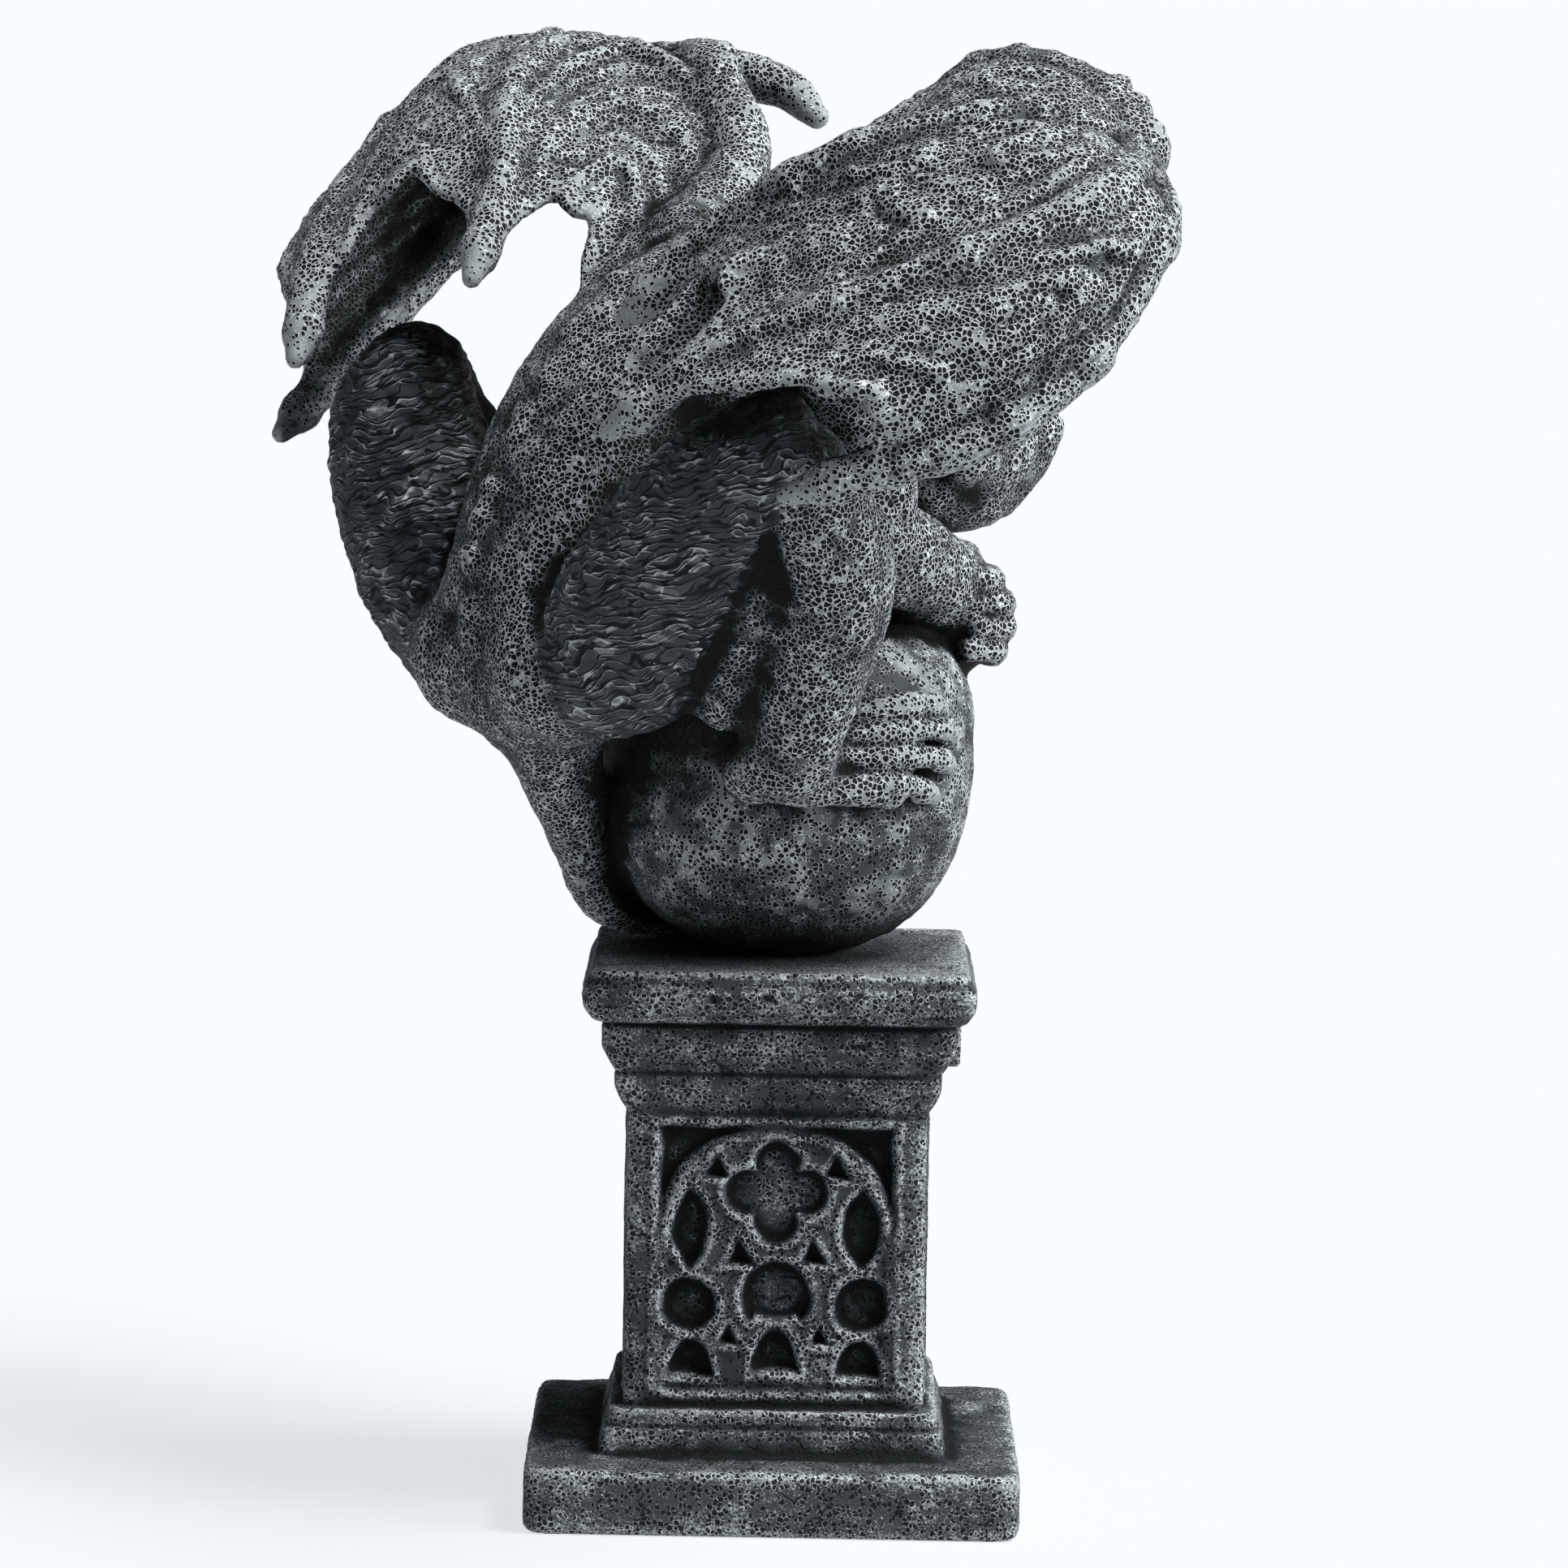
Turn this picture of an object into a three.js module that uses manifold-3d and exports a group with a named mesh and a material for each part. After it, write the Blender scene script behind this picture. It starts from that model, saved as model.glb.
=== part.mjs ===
// Gargoyle statue: a crouching winged figure on a ball, set on a carved square plinth.
// Millimetres, +Z up, origin at the centre of the plinth's underside.
import * as THREE from 'three';
import { mergeVertices } from 'three/addons/utils/BufferGeometryUtils.js';
import Module from 'manifold-3d';

const wasm = await Module();
wasm.setup();

// ------------------------------------------------------------------ plinth sizes
const PLINTH_TOP = 105.05;        // seat of the figure
const SHAFT_HALF = 28.4;          // half width of the shaft
const SHAFT_LOW = 21.4;
const SHAFT_HIGH = 77.6;
// height, half width: slab, stepped foot, shaft, cornice mouldings
const PLINTH_PROFILE = [
  [0, 45.6], [1.0, 46.6], [11.4, 46.6], [12.3, 45.7],
  [12.7, 33.2], [17.5, 31.8], [17.9, 30.9], [18.3, 31.4], [21.0, 30.9], [SHAFT_LOW, SHAFT_HALF],
  [SHAFT_HIGH, SHAFT_HALF], [79.4, 29.7], [82.2, 30.8], [84.6, 30.9], [85.1, 30.3], [85.7, 31.1],
  [88.0, 32.4], [90.2, 33.4], [94.4, 33.5], [94.9, 32.9], [95.6, 35.3], [98.0, 36.9], [100.7, 37.2],
  [102.5, 36.4], [102.9, 35.5], [103.5, 35.9], [PLINTH_TOP, 35.5],
];
// blind tracery, drawn on a face: across from the middle line, up from the ground
const PANEL_HALF = 22.6;
const PANEL_LOW = 24.4;
const PANEL_HIGH = 75.4;
const PANEL_SINK = 0.7;           // tracery bars lie just under the corner piers
const PIERCE_SINK = 2.6;          // openings between the bars
const ARCH_RADIUS = 22.0;
const ARCH_SPRING = 52.2;
const FOIL_CENTRE = 62.4;
const FOIL_OFFSET = 5.3;
const FOIL_RADIUS = 4.6;
const ALMOND = { across: 16.2, up: 55.4, halfWidth: 3.5, halfHeight: 7.9 };
const MID_CIRCLE = { up: 42.4, radius: 6.8 };
const SIDE_CIRCLE = { across: 16.2, up: 40.9, radius: 5.2 };
const LUNETTE = { across: 15.7, halfWidth: 4.3, low: 27.4, high: 34.4 };
const MID_LUNETTE = { halfWidth: 4.6, low: 28.2, high: 36.2 };
// blank shield boss over the cornice band on the +X face
const BOSS = { up: 89.6, halfWidth: 6.2, halfHeight: 6.0, out: 35.0, back: 29.5 };

// ------------------------------------------------------------------ figure sizes
const HEADING = 34;               // the figure is turned this far about +Z on its plinth
const WING_TILT = 0.0566;         // rise of the left wing and fall of the right one per mm across
const TILT_FROM = 165;
const TILT_OVER = 70;
const BALL = { centre: 144.5, radius: 36.1, below: 40.3, above: 26, roundBelow: 2.35, roundAbove: 3 };
// tubes below are rows of [forward, left, up, radius]; paired ones are mirrored
const TORSO = [[-53, 0, 163, 19], [-51, 0, 181, 19.5], [-43, 0, 200, 19], [-31, 0, 217, 18],
  [-14, 0, 229, 15], [6, 0, 228, 12.5], [22, 0, 219, 12]];
const THIGH = [[-53, 25, 167, 16.5], [-54, 40, 181, 17.2], [-50, 58, 200, 15], [-44, 65, 209, 11]];
// the right thigh is a little slimmer towards the knee
const RIGHT_THIGH = [[-53, 25, 167, 16.5], [-55.5, 39, 181.5, 15.4], [-53.5, 55.5, 200, 12.2], [-46.5, 62.5, 210, 9.2]];
const SHIN = [[-41, 63, 203, 10], [-32.5, 59, 190, 11.2], [-28, 53.5, 176, 11], [-27, 44.8, 158, 9.9], [-25.6, 38.6, 148, 9.2]];
const FOOT = [[-28, 32, 142.5, 6.6], [-22, 36.6, 146, 7.6], [-12, 38.5, 146, 6.6]];
const TOES = [[151, 151.5, 8], [147.5, 147, 14], [143.5, 141, 13], [139.5, 134.5, 3]]; // root height, tip height, bearing
const TOE_REACH = 39.6;           // toes lie on the ball at this radius
const TOE_RADIUS = 3.5;
const ARM = [[-8, 26, 224, 11], [-1, 26, 204, 10], [1, 25, 187, 9.8], [14, 20, 180.5, 9.8], [27, 14, 174.6, 9]];
const PALM = { at: [31, 12, 170.8], size: [8.7, 9.8, 8.2] };
const FINGER_ROWS = [5.2, 9.8, 14.4, 19.0];
const FINGER = [[30, 175, 3.4], [36.5, 171.5, 3.4], [37.2, 164.5, 2.9], [34.8, 159, 1.6], [32.5, 156.5, 0.9]];
const SKULL = { at: [25, 0, 215], size: [17, 14.5, 14] };
const SNOUT = [[34, 0, 208, 11], [44, 0, 204.5, 10], [53, 0, 203, 8.6]];
const JAW = [[30, 0, 195, 10.5], [40, 0, 192.8, 8.8], [46.5, 0, 193, 7]];
const BROW = { at: [40, 8, 213], size: [7.5, 7, 5] };
const EAR = [[20, 13, 220, 5], [10, 22, 230, 4], [0, 27, 238, 1.2]];
const HORN = [[28, 8, 227, 4.2], [20, 12, 238, 3.4], [8, 14, 243, 1.2]];
const TAIL = [[-57, 0, 160, 12], [-49.5, 3.5, 145, 8.6], [-37, 13, 127, 6.2], [-25.5, 22, 114, 5.2],
  [-10, 26.5, 110, 4.7], [9, 26, 109.4, 4.1], [22, 18, 108.8, 2.4]];
const SPINE = [[-68, 156], [-71, 178], [-63.5, 200], [-51.5, 218], [-36, 237]]; // forward, up
const SPINE_KNOBS = 10;
const SHOULDER = { at: [-14, 18, 230], size: [15, 12, 12] };
const RIBS = { at: [-20, 10, 205], size: [19, 16, 23] };
// wings: every strut starts at the wrist
const WRIST = [20, 82, 265.5];
const WING_ARM = [WRIST, [17, 65, 269], [12, 47, 268.5], [5, 26, 253], [-16, 14, 238], [-43, 7, 225]];
const RIGHT_ARM_LIFT = [-1, 6.5, 8, 5, 2, 0]; // the right wing is carved with a higher elbow
const STRUT_LOW = [WRIST, [6, 101, 252], [-12, 105, 229], [-31, 101, 214], [-60, 86, 200]];
const STRUT_MID = [WRIST, [-5, 104, 262], [-31, 96, 251], [-60, 71, 232.5], [-77, 56, 211.5]];
const STRUT_HIGH = [WRIST, [-1, 78, 270], [-29, 61, 263], [-43, 40, 249], [-55, 27, 231]];
const CLAW_RADII = [3.3, 3.5, 3.1, 1.4]; // blunt claw at the end of every strut
const STRUT_HALF = 3.4;           // ridge of a strut over and under the web's middle
const WING_ARM_RADII = [5.6, 5.0, 5.2, 6.2, 8];
const THUMB = [[20, 82, 265.5, 4.4], [32, 72, 268, 4.2], [41, 60, 263, 3.4], [44.5, 53.5, 256, 1.4]];
const WEB_HALF = 1.8;             // half thickness of the webs
const WEB_STATIONS = [0, 0.17, 0.5, 0.83]; // columns across a web, strut to strut
// webs between neighbouring struts: ends of the free edge, depth of scallop, bulge, how square
// the bulge is, how much of it is held to the free edge, flare of the lip
const WEBS = [
  { from: 'arm', to: 'high', endFrom: 1.0, endTo: 0.93, scallop: 0.15, power: 0.6, bulge: -1.5, full: 1, hold: 0, lip: 1.5 },
  { from: 'high', to: 'mid', endFrom: 0.91, endTo: 0.9, scallop: 0.2, power: 0.8, bulge: -2.0, full: 1, hold: 0, lip: 3 },
  { from: 'mid', to: 'low', endFrom: 0.9, endTo: 0.88, scallop: 0.19, power: 0.8, bulge: 12, full: 0.6, hold: 1, lip: 1 },
];

// ------------------------------------------------------------------ helpers
const rad = THREE.MathUtils.degToRad;

function solid(geometry) {
  const g = geometry.clone();
  g.deleteAttribute('normal');
  g.deleteAttribute('uv');
  const m = mergeVertices(g, 1e-4);
  return new wasm.Manifold(new wasm.Mesh({
    numProp: 3,
    vertProperties: new Float32Array(m.attributes.position.array),
    triVerts: new Uint32Array(m.index.array),
  }));
}

function joinAll(list) {
  let rest = list.slice();
  while (rest.length > 1) {
    const next = [];
    for (let i = 0; i < rest.length; i += 2) next.push(i + 1 < rest.length ? rest[i].add(rest[i + 1]) : rest[i]);
    rest = next;
  }
  return rest[0];
}

function tilt(v) {
  const t = THREE.MathUtils.smoothstep(v.z, TILT_FROM, TILT_FROM + TILT_OVER);
  return new THREE.Vector3(v.x, v.y, v.z + WING_TILT * v.y * t);
}

const curveOf = (rows) => new THREE.CatmullRomCurve3(rows.map((p) => new THREE.Vector3(p[0], p[1], p[2])), false, 'catmullrom', 0.5);

// uniform parameter over the control points
function mix(values, s) {
  const k = Math.min(Math.max(s, 0), 1) * (values.length - 1);
  const i = Math.min(Math.floor(k), values.length - 2);
  return values[i] + (values[i + 1] - values[i]) * (k - i);
}

// closed tapering tube with domed ends through centres and radii
function tubeThrough(centres, radii, sides) {
  const n = centres.length;
  const first = centres[1].clone().sub(centres[0]).normalize();
  const last = centres[n - 1].clone().sub(centres[n - 2]).normalize();
  const rings = [];
  const push = (c, r) => rings.push([c, r]);
  push(centres[0].clone().addScaledVector(first, -0.72 * radii[0]), 0.62 * radii[0]);
  for (let i = 0; i < n; i++) push(centres[i], radii[i]);
  push(centres[n - 1].clone().addScaledVector(last, 0.72 * radii[n - 1]), 0.62 * radii[n - 1]);
  const startTip = centres[0].clone().addScaledVector(first, -radii[0]);
  const endTip = centres[n - 1].clone().addScaledVector(last, radii[n - 1]);
  const pos = [];
  const idx = [];
  let up = Math.abs(first.z) < 0.9 ? new THREE.Vector3(0, 0, 1) : new THREE.Vector3(1, 0, 0);
  rings.forEach(([c, r], k) => {
    const a = rings[Math.max(k - 1, 0)][0];
    const b = rings[Math.min(k + 1, rings.length - 1)][0];
    const t = b.clone().sub(a).normalize();
    const side = new THREE.Vector3().crossVectors(t, up).normalize();
    up = new THREE.Vector3().crossVectors(side, t).normalize();
    for (let j = 0; j < sides; j++) {
      const w = (2 * Math.PI * j) / sides;
      const p = c.clone().addScaledVector(side, r * Math.cos(w)).addScaledVector(up, r * Math.sin(w));
      pos.push(p.x, p.y, p.z);
    }
  });
  const m = rings.length;
  for (let k = 0; k < m - 1; k++) {
    for (let j = 0; j < sides; j++) {
      const a = k * sides + j;
      const b = k * sides + ((j + 1) % sides);
      idx.push(a, a + sides, b, b, a + sides, b + sides);
    }
  }
  pos.push(startTip.x, startTip.y, startTip.z, endTip.x, endTip.y, endTip.z);
  const s = m * sides;
  for (let j = 0; j < sides; j++) {
    const k = (j + 1) % sides;
    idx.push(s, j, k, s + 1, (m - 1) * sides + k, (m - 1) * sides + j);
  }
  const g = new THREE.BufferGeometry();
  g.setAttribute('position', new THREE.Float32BufferAttribute(pos, 3));
  g.setIndex(idx);
  return outward(g);
}

function outward(g) {
  const m = solid(g);
  if (m.volume() > 0) return m;
  const idx = Array.from(g.index.array);
  for (let i = 0; i < idx.length; i += 3) [idx[i + 1], idx[i + 2]] = [idx[i + 2], idx[i + 1]];
  g.setIndex(idx);
  return solid(g);
}

function tube(rows, steps, sides, mirrored = true) {
  const curve = curveOf(rows);
  const radii = rows.map((p) => p[3]);
  const make = (side) => {
    const c = [];
    const r = [];
    for (let i = 0; i <= steps; i++) {
      const p = curve.getPoint(i / steps);
      p.y *= side;
      c.push(tilt(p));
      r.push(mix(radii, i / steps));
    }
    return tubeThrough(c, r, sides);
  };
  return mirrored ? [make(1), make(-1)] : [make(1)];
}

function egg({ at, size }, mirrored = true, wide = 12, high = 8, turn = 0) {
  const make = (side) => {
    const g = new THREE.SphereGeometry(1, wide, high);
    g.scale(...size);
    g.rotateY(rad(turn));
    const c = tilt(new THREE.Vector3(at[0], at[1] * side, at[2]));
    g.translate(c.x, c.y, c.z);
    return outward(mergeVertices(plain(g), 1e-4));
  };
  return mirrored ? [make(1), make(-1)] : [make(1)];
}

function plain(g) {
  const h = g.clone();
  h.deleteAttribute('normal');
  h.deleteAttribute('uv');
  return h;
}

// ------------------------------------------------------------------ figure
function ball() {
  const pts = [];
  const steps = 9;
  const foot = BALL.below;
  for (let i = 0; i <= steps; i++) {
    const w = -Math.PI / 2 + (Math.PI * i) / steps;
    const low = w < 0;
    const n = low ? BALL.roundBelow : BALL.roundAbove;
    const c = Math.pow(Math.abs(Math.cos(w)), 2 / n) * BALL.radius;
    const s = Math.sign(w) * Math.pow(Math.abs(Math.sin(w)), 2 / n) * (low ? foot : BALL.above);
    pts.push(new THREE.Vector2(i === 0 || i === steps ? 0 : c, BALL.centre + s));
  }
  const g = new THREE.LatheGeometry(pts, 18);
  g.rotateX(Math.PI / 2);
  return outward(mergeVertices(plain(g), 1e-4));
}

function toes() {
  const out = [];
  TOES.forEach(([rootUp, tipUp, bearing], i) => {
    const at = (deg, reach, up, r) => [reach * Math.sin(rad(deg)), reach * Math.cos(rad(deg)), up, r];
    out.push(...tube([
      at(-16 - 3 * i, TOE_REACH, rootUp, TOE_RADIUS),
      at(-4 - 2 * i, TOE_REACH + 0.4, (rootUp + tipUp) / 2 + 0.8, TOE_RADIUS),
      at(bearing, TOE_REACH - 0.8, tipUp, 0.82 * TOE_RADIUS),
      at(bearing + 8, TOE_REACH - 2, tipUp - 2.2, 0.9),
    ], 3, 4));
  });
  return out;
}

function hands() {
  const out = [];
  FINGER_ROWS.forEach((across) => {
    out.push(...tube(FINGER.map(([fwd, up, r]) => [fwd, across, up, r]), 4, 4));
  });
  return [...out, ...egg(PALM, true, 7, 5, 20)];
}

function spineKnobs() {
  const curve = curveOf(SPINE.map(([x, z]) => [x, 0, z]));
  const out = [];
  for (let i = 0; i < SPINE_KNOBS; i++) {
    const p = curve.getPointAt((i + 0.5) / SPINE_KNOBS);
    out.push(...egg({ at: [p.x, 0, p.z], size: [3.2, 2.7, 3.0] }, false, 5, 3));
  }
  return out;
}

// the wing's skin with its struts as ridges: one closed shell, columns from the arm to the lowest strut
function wingSkin(side) {
  const wingArm = WING_ARM.map((p, i) => [p[0], p[1], p[2] + (side < 0 ? RIGHT_ARM_LIFT[i] : 0)]);
  const struts = { arm: curveOf(wingArm), high: curveOf(STRUT_HIGH), mid: curveOf(STRUT_MID), low: curveOf(STRUT_LOW) };
  const columns = [];
  WEBS.forEach((w, k) => {
    for (const t of k === WEBS.length - 1 ? [...WEB_STATIONS, 1] : WEB_STATIONS) columns.push({ w, t });
  });
  const along = 7;
  const over = columns.length - 1;
  const begin = 0.06;
  const grid = [];
  for (let i = 0; i <= along; i++) {
    grid.push(columns.map(({ w, t }) => {
      const end = w.endFrom + (w.endTo - w.endFrom) * t - w.scallop * Math.pow(Math.sin(Math.PI * t), w.power);
      const s = begin + (end - begin) * (i / along);
      const p = struts[w.from].getPoint(s).lerp(struts[w.to].getPoint(s), t);
      return { p, f: s / end };
    }));
  }
  const middle = new THREE.Vector3(-25, 50, 225);
  const at = (i, j) => grid[Math.min(Math.max(i, 0), along)][Math.min(Math.max(j, 0), over)].p;
  let facing = 0;
  const normals = grid.map((row, i) => row.map(({ p }, j) => {
    const du = at(i + 1, j).clone().sub(at(i - 1, j));
    const dv = at(i, j + 1).clone().sub(at(i, j - 1));
    const n = new THREE.Vector3().crossVectors(du, dv).normalize();
    facing += p.clone().sub(middle).dot(n);
    return n;
  }));
  const sign = Math.sign(facing);
  const pos = [];
  const add = (p) => { const q = tilt(new THREE.Vector3(p.x, p.y * side, p.z)); pos.push(q.x, q.y, q.z); };
  for (const face of [1, -1]) {
    for (let i = 0; i <= along; i++) {
      for (let j = 0; j <= over; j++) {
        const { p, f } = grid[i][j];
        const { w, t } = columns[j];
        const b = Math.sin(Math.PI * t);
        const closing = Math.pow(Math.sin(Math.PI * Math.min(f, 1) * 0.98), 0.7);
        const held = THREE.MathUtils.smoothstep(f, 0.05, 0.75);
        const belly = w.bulge * Math.pow(Math.max(b, 0), w.full) * (closing + (held - closing) * w.hold);
        const flare = w.lip * Math.pow(b, 1.5) * Math.exp(-(1 - f) / 0.08);
        const ridge = t === 0 || t === 1 ? STRUT_HALF : WEB_HALF;
        const half = ridge * (i === along ? 0.75 : 1);
        add(p.clone().addScaledVector(normals[i][j], sign * (belly + flare + face * half)));
      }
    }
  }
  const idx = [];
  const wide = over + 1;
  const layer = (along + 1) * wide;
  const v = (f, i, j) => f * layer + i * wide + j;
  const quad = (a, b, c, d) => idx.push(a, b, c, a, c, d);
  for (let i = 0; i < along; i++) {
    for (let j = 0; j < over; j++) {
      quad(v(0, i, j), v(0, i + 1, j), v(0, i + 1, j + 1), v(0, i, j + 1));
      quad(v(1, i, j), v(1, i, j + 1), v(1, i + 1, j + 1), v(1, i + 1, j));
    }
    quad(v(0, i, 0), v(1, i, 0), v(1, i + 1, 0), v(0, i + 1, 0));
    quad(v(0, i, over), v(0, i + 1, over), v(1, i + 1, over), v(1, i, over));
  }
  for (let j = 0; j < over; j++) {
    quad(v(0, 0, j), v(0, 0, j + 1), v(1, 0, j + 1), v(1, 0, j));
    quad(v(0, along, j), v(1, along, j), v(1, along, j + 1), v(0, along, j + 1));
  }
  const g = new THREE.BufferGeometry();
  g.setAttribute('position', new THREE.Float32BufferAttribute(pos, 3));
  g.setIndex(idx);
  return outward(g);
}

function wing(side) {
  const place = (p) => tilt(new THREE.Vector3(p.x, p.y * side, p.z));
  const limb = (curve, from, until, steps, radii, sides) => {
    const c = [];
    const r = [];
    for (let i = 0; i <= steps; i++) {
      c.push(place(curve.getPoint(from + ((until - from) * i) / steps)));
      r.push(mix(radii, i / steps));
    }
    return tubeThrough(c, r, sides);
  };
  const out = [wingSkin(side)];
  for (const rows of [STRUT_LOW, STRUT_MID, STRUT_HIGH]) out.push(limb(curveOf(rows), 0.84, 1, 3, CLAW_RADII, 6));
  const armRows = WING_ARM.slice(0, 5).map((p, i) => [p[0], p[1], p[2] + (side < 0 ? RIGHT_ARM_LIFT[i] : 0)]);
  out.push(limb(curveOf(armRows), 0, 1, 6, WING_ARM_RADII, 7));
  return out;
}

function figure() {
  const parts = [
    ball(),
    ...tube(TORSO, 8, 10, false),
    ...egg(SHOULDER, true, 7, 5, 25),
    ...egg(RIBS, true, 7, 5, -25),
    tube(THIGH, 4, 10)[0],
    tube(RIGHT_THIGH, 4, 10)[1],
    ...tube(SHIN, 5, 7),
    ...tube(FOOT, 2, 6),
    ...toes(),
    ...tube(ARM, 5, 6),
    ...hands(),
    ...egg(SKULL, false, 9, 6, 10),
    ...tube(SNOUT, 2, 8, false),
    ...tube(JAW, 2, 8, false),
    ...egg(BROW, true, 7, 5, 15),
    ...tube(EAR, 3, 5),
    ...tube(HORN, 3, 5),
    ...tube(TAIL, 10, 7, false),
    ...spineKnobs(),
    ...tube(THUMB, 4, 6),
    ...wing(1),
    ...wing(-1),
  ];
  const whole = joinAll(parts);
  const under = new THREE.BoxGeometry(300, 300, 100);
  under.translate(0, 0, PLINTH_TOP - 50);
  return whole.subtract(solid(under));
}

// ------------------------------------------------------------------ plinth
function faceShapes() {
  const shapes = [];
  const circle = (x, y, r) => { const s = new THREE.Shape(); s.absarc(x, y, r, 0, 2 * Math.PI); return s; };
  const foil = [];
  for (let i = 0; i < 4; i++) {
    const w = (i * Math.PI) / 2;
    foil.push(circle(FOIL_OFFSET * Math.cos(w), FOIL_CENTRE + FOIL_OFFSET * Math.sin(w), FOIL_RADIUS));
  }
  foil.push(circle(0, FOIL_CENTRE, 0.8 * FOIL_OFFSET));
  shapes.push(...foil, circle(0, MID_CIRCLE.up, MID_CIRCLE.radius));
  const lunette = (x, { halfWidth, low, high }) => {
    const s = new THREE.Shape();
    s.moveTo(x - halfWidth, low);
    s.lineTo(x + halfWidth, low);
    s.bezierCurveTo(x + halfWidth, low + 0.6 * (high - low), x + 0.5 * halfWidth, high, x, high);
    s.bezierCurveTo(x - 0.5 * halfWidth, high, x - halfWidth, low + 0.6 * (high - low), x - halfWidth, low);
    return s;
  };
  shapes.push(lunette(0, MID_LUNETTE));
  for (const side of [-1, 1]) {
    const x = side * ALMOND.across;
    const { up, halfWidth, halfHeight } = ALMOND;
    const a = new THREE.Shape();
    a.moveTo(x, up - halfHeight);
    a.quadraticCurveTo(x + 2 * halfWidth, up, x, up + halfHeight);
    a.quadraticCurveTo(x - 2 * halfWidth, up, x, up - halfHeight);
    shapes.push(a, circle(side * SIDE_CIRCLE.across, SIDE_CIRCLE.up, SIDE_CIRCLE.radius), lunette(side * LUNETTE.across, LUNETTE));
    // spandrel between the arch and the panel's corner
    const sp = new THREE.Shape();
    const R = ARCH_RADIUS + 0.9;
    const from = Math.acos(PANEL_HALF / R);
    const until = Math.asin(Math.min((PANEL_HIGH - ARCH_SPRING) / R, 1)) || Math.PI / 2;
    const steps = 8;
    sp.moveTo(side * PANEL_HALF, PANEL_HIGH);
    for (let i = 0; i <= steps; i++) {
      const w = from + ((until - from) * i) / steps + 0.02;
      sp.lineTo(side * R * Math.cos(w), Math.min(ARCH_SPRING + R * Math.sin(w), PANEL_HIGH - 0.3));
    }
    sp.closePath();
    shapes.push(sp);
  }
  return shapes;
}

// push a drawn face shape into the shaft on the face turned by quarter turns
function cutter(shape, sink, quarter) {
  const g = new THREE.ExtrudeGeometry(shape, { depth: sink + 3, bevelEnabled: false, curveSegments: 4 });
  g.rotateX(Math.PI / 2);                       // drawn up becomes +Z, depth runs to -Y
  g.translate(0, -(SHAFT_HALF - sink), 0);
  g.rotateZ((quarter * Math.PI) / 2);
  return outward(mergeVertices(plain(g), 1e-4));
}

function plinth() {
  const pts = PLINTH_PROFILE.map(([up, half]) => new THREE.Vector2(half * Math.SQRT2, up));
  pts.unshift(new THREE.Vector2(0, 0));
  pts.push(new THREE.Vector2(0, PLINTH_TOP));
  const g = new THREE.LatheGeometry(pts, 4);
  g.rotateX(Math.PI / 2);
  g.rotateZ(Math.PI / 4);
  let body = outward(mergeVertices(plain(g), 1e-4));
  const panel = new THREE.Shape();
  panel.moveTo(-PANEL_HALF, PANEL_LOW);
  panel.lineTo(PANEL_HALF, PANEL_LOW);
  panel.lineTo(PANEL_HALF, PANEL_HIGH);
  panel.lineTo(-PANEL_HALF, PANEL_HIGH);
  panel.closePath();
  const openings = faceShapes();
  const cuts = [];
  for (let q = 0; q < 4; q++) {
    cuts.push(cutter(panel, PANEL_SINK, q));
    for (const s of openings) cuts.push(cutter(s, PIERCE_SINK, q));
  }
  body = body.subtract(joinAll(cuts));
  const shield = new THREE.Shape();
  const { halfWidth: w, halfHeight: h } = BOSS;
  shield.moveTo(-w, h);
  shield.quadraticCurveTo(0, 1.25 * h, w, h);
  shield.quadraticCurveTo(1.05 * w, -0.3 * h, 0, -h);
  shield.quadraticCurveTo(-1.05 * w, -0.3 * h, -w, h);
  const boss = new THREE.ExtrudeGeometry(shield, { depth: BOSS.out - BOSS.back, bevelEnabled: false, curveSegments: 7 });
  boss.rotateX(Math.PI / 2);
  boss.rotateZ(Math.PI / 2);
  boss.translate(BOSS.back, 0, BOSS.up);
  return body.add(outward(mergeVertices(plain(boss), 1e-4)));
}

// ------------------------------------------------------------------ nodes
function node(name, manifold, colour) {
  const m = manifold.getMesh();
  const g = new THREE.BufferGeometry();
  const count = m.vertProperties.length / m.numProp;
  const pos = new Float32Array(count * 3);
  for (let i = 0; i < count; i++) for (let k = 0; k < 3; k++) pos[3 * i + k] = m.vertProperties[m.numProp * i + k];
  g.setAttribute('position', new THREE.BufferAttribute(pos, 3));
  g.setIndex(new THREE.BufferAttribute(new Uint32Array(m.triVerts), 1));
  const merged = mergeVertices(g, 1e-4);
  merged.computeVertexNormals();
  const mesh = new THREE.Mesh(merged, new THREE.MeshStandardMaterial({ color: colour, roughness: 0.85, metalness: 0 }));
  mesh.name = name;
  return mesh;
}

const group = new THREE.Group();
group.name = 'gargoyle_statue';
const statue = node('gargoyle', figure(), 0x4a4d52);
statue.rotation.z = rad(HEADING);
group.add(statue);
group.add(node('plinth', plinth(), 0x555a60));

export default group;
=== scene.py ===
import bpy, math
import numpy as np
from mathutils import Matrix, Vector


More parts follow.
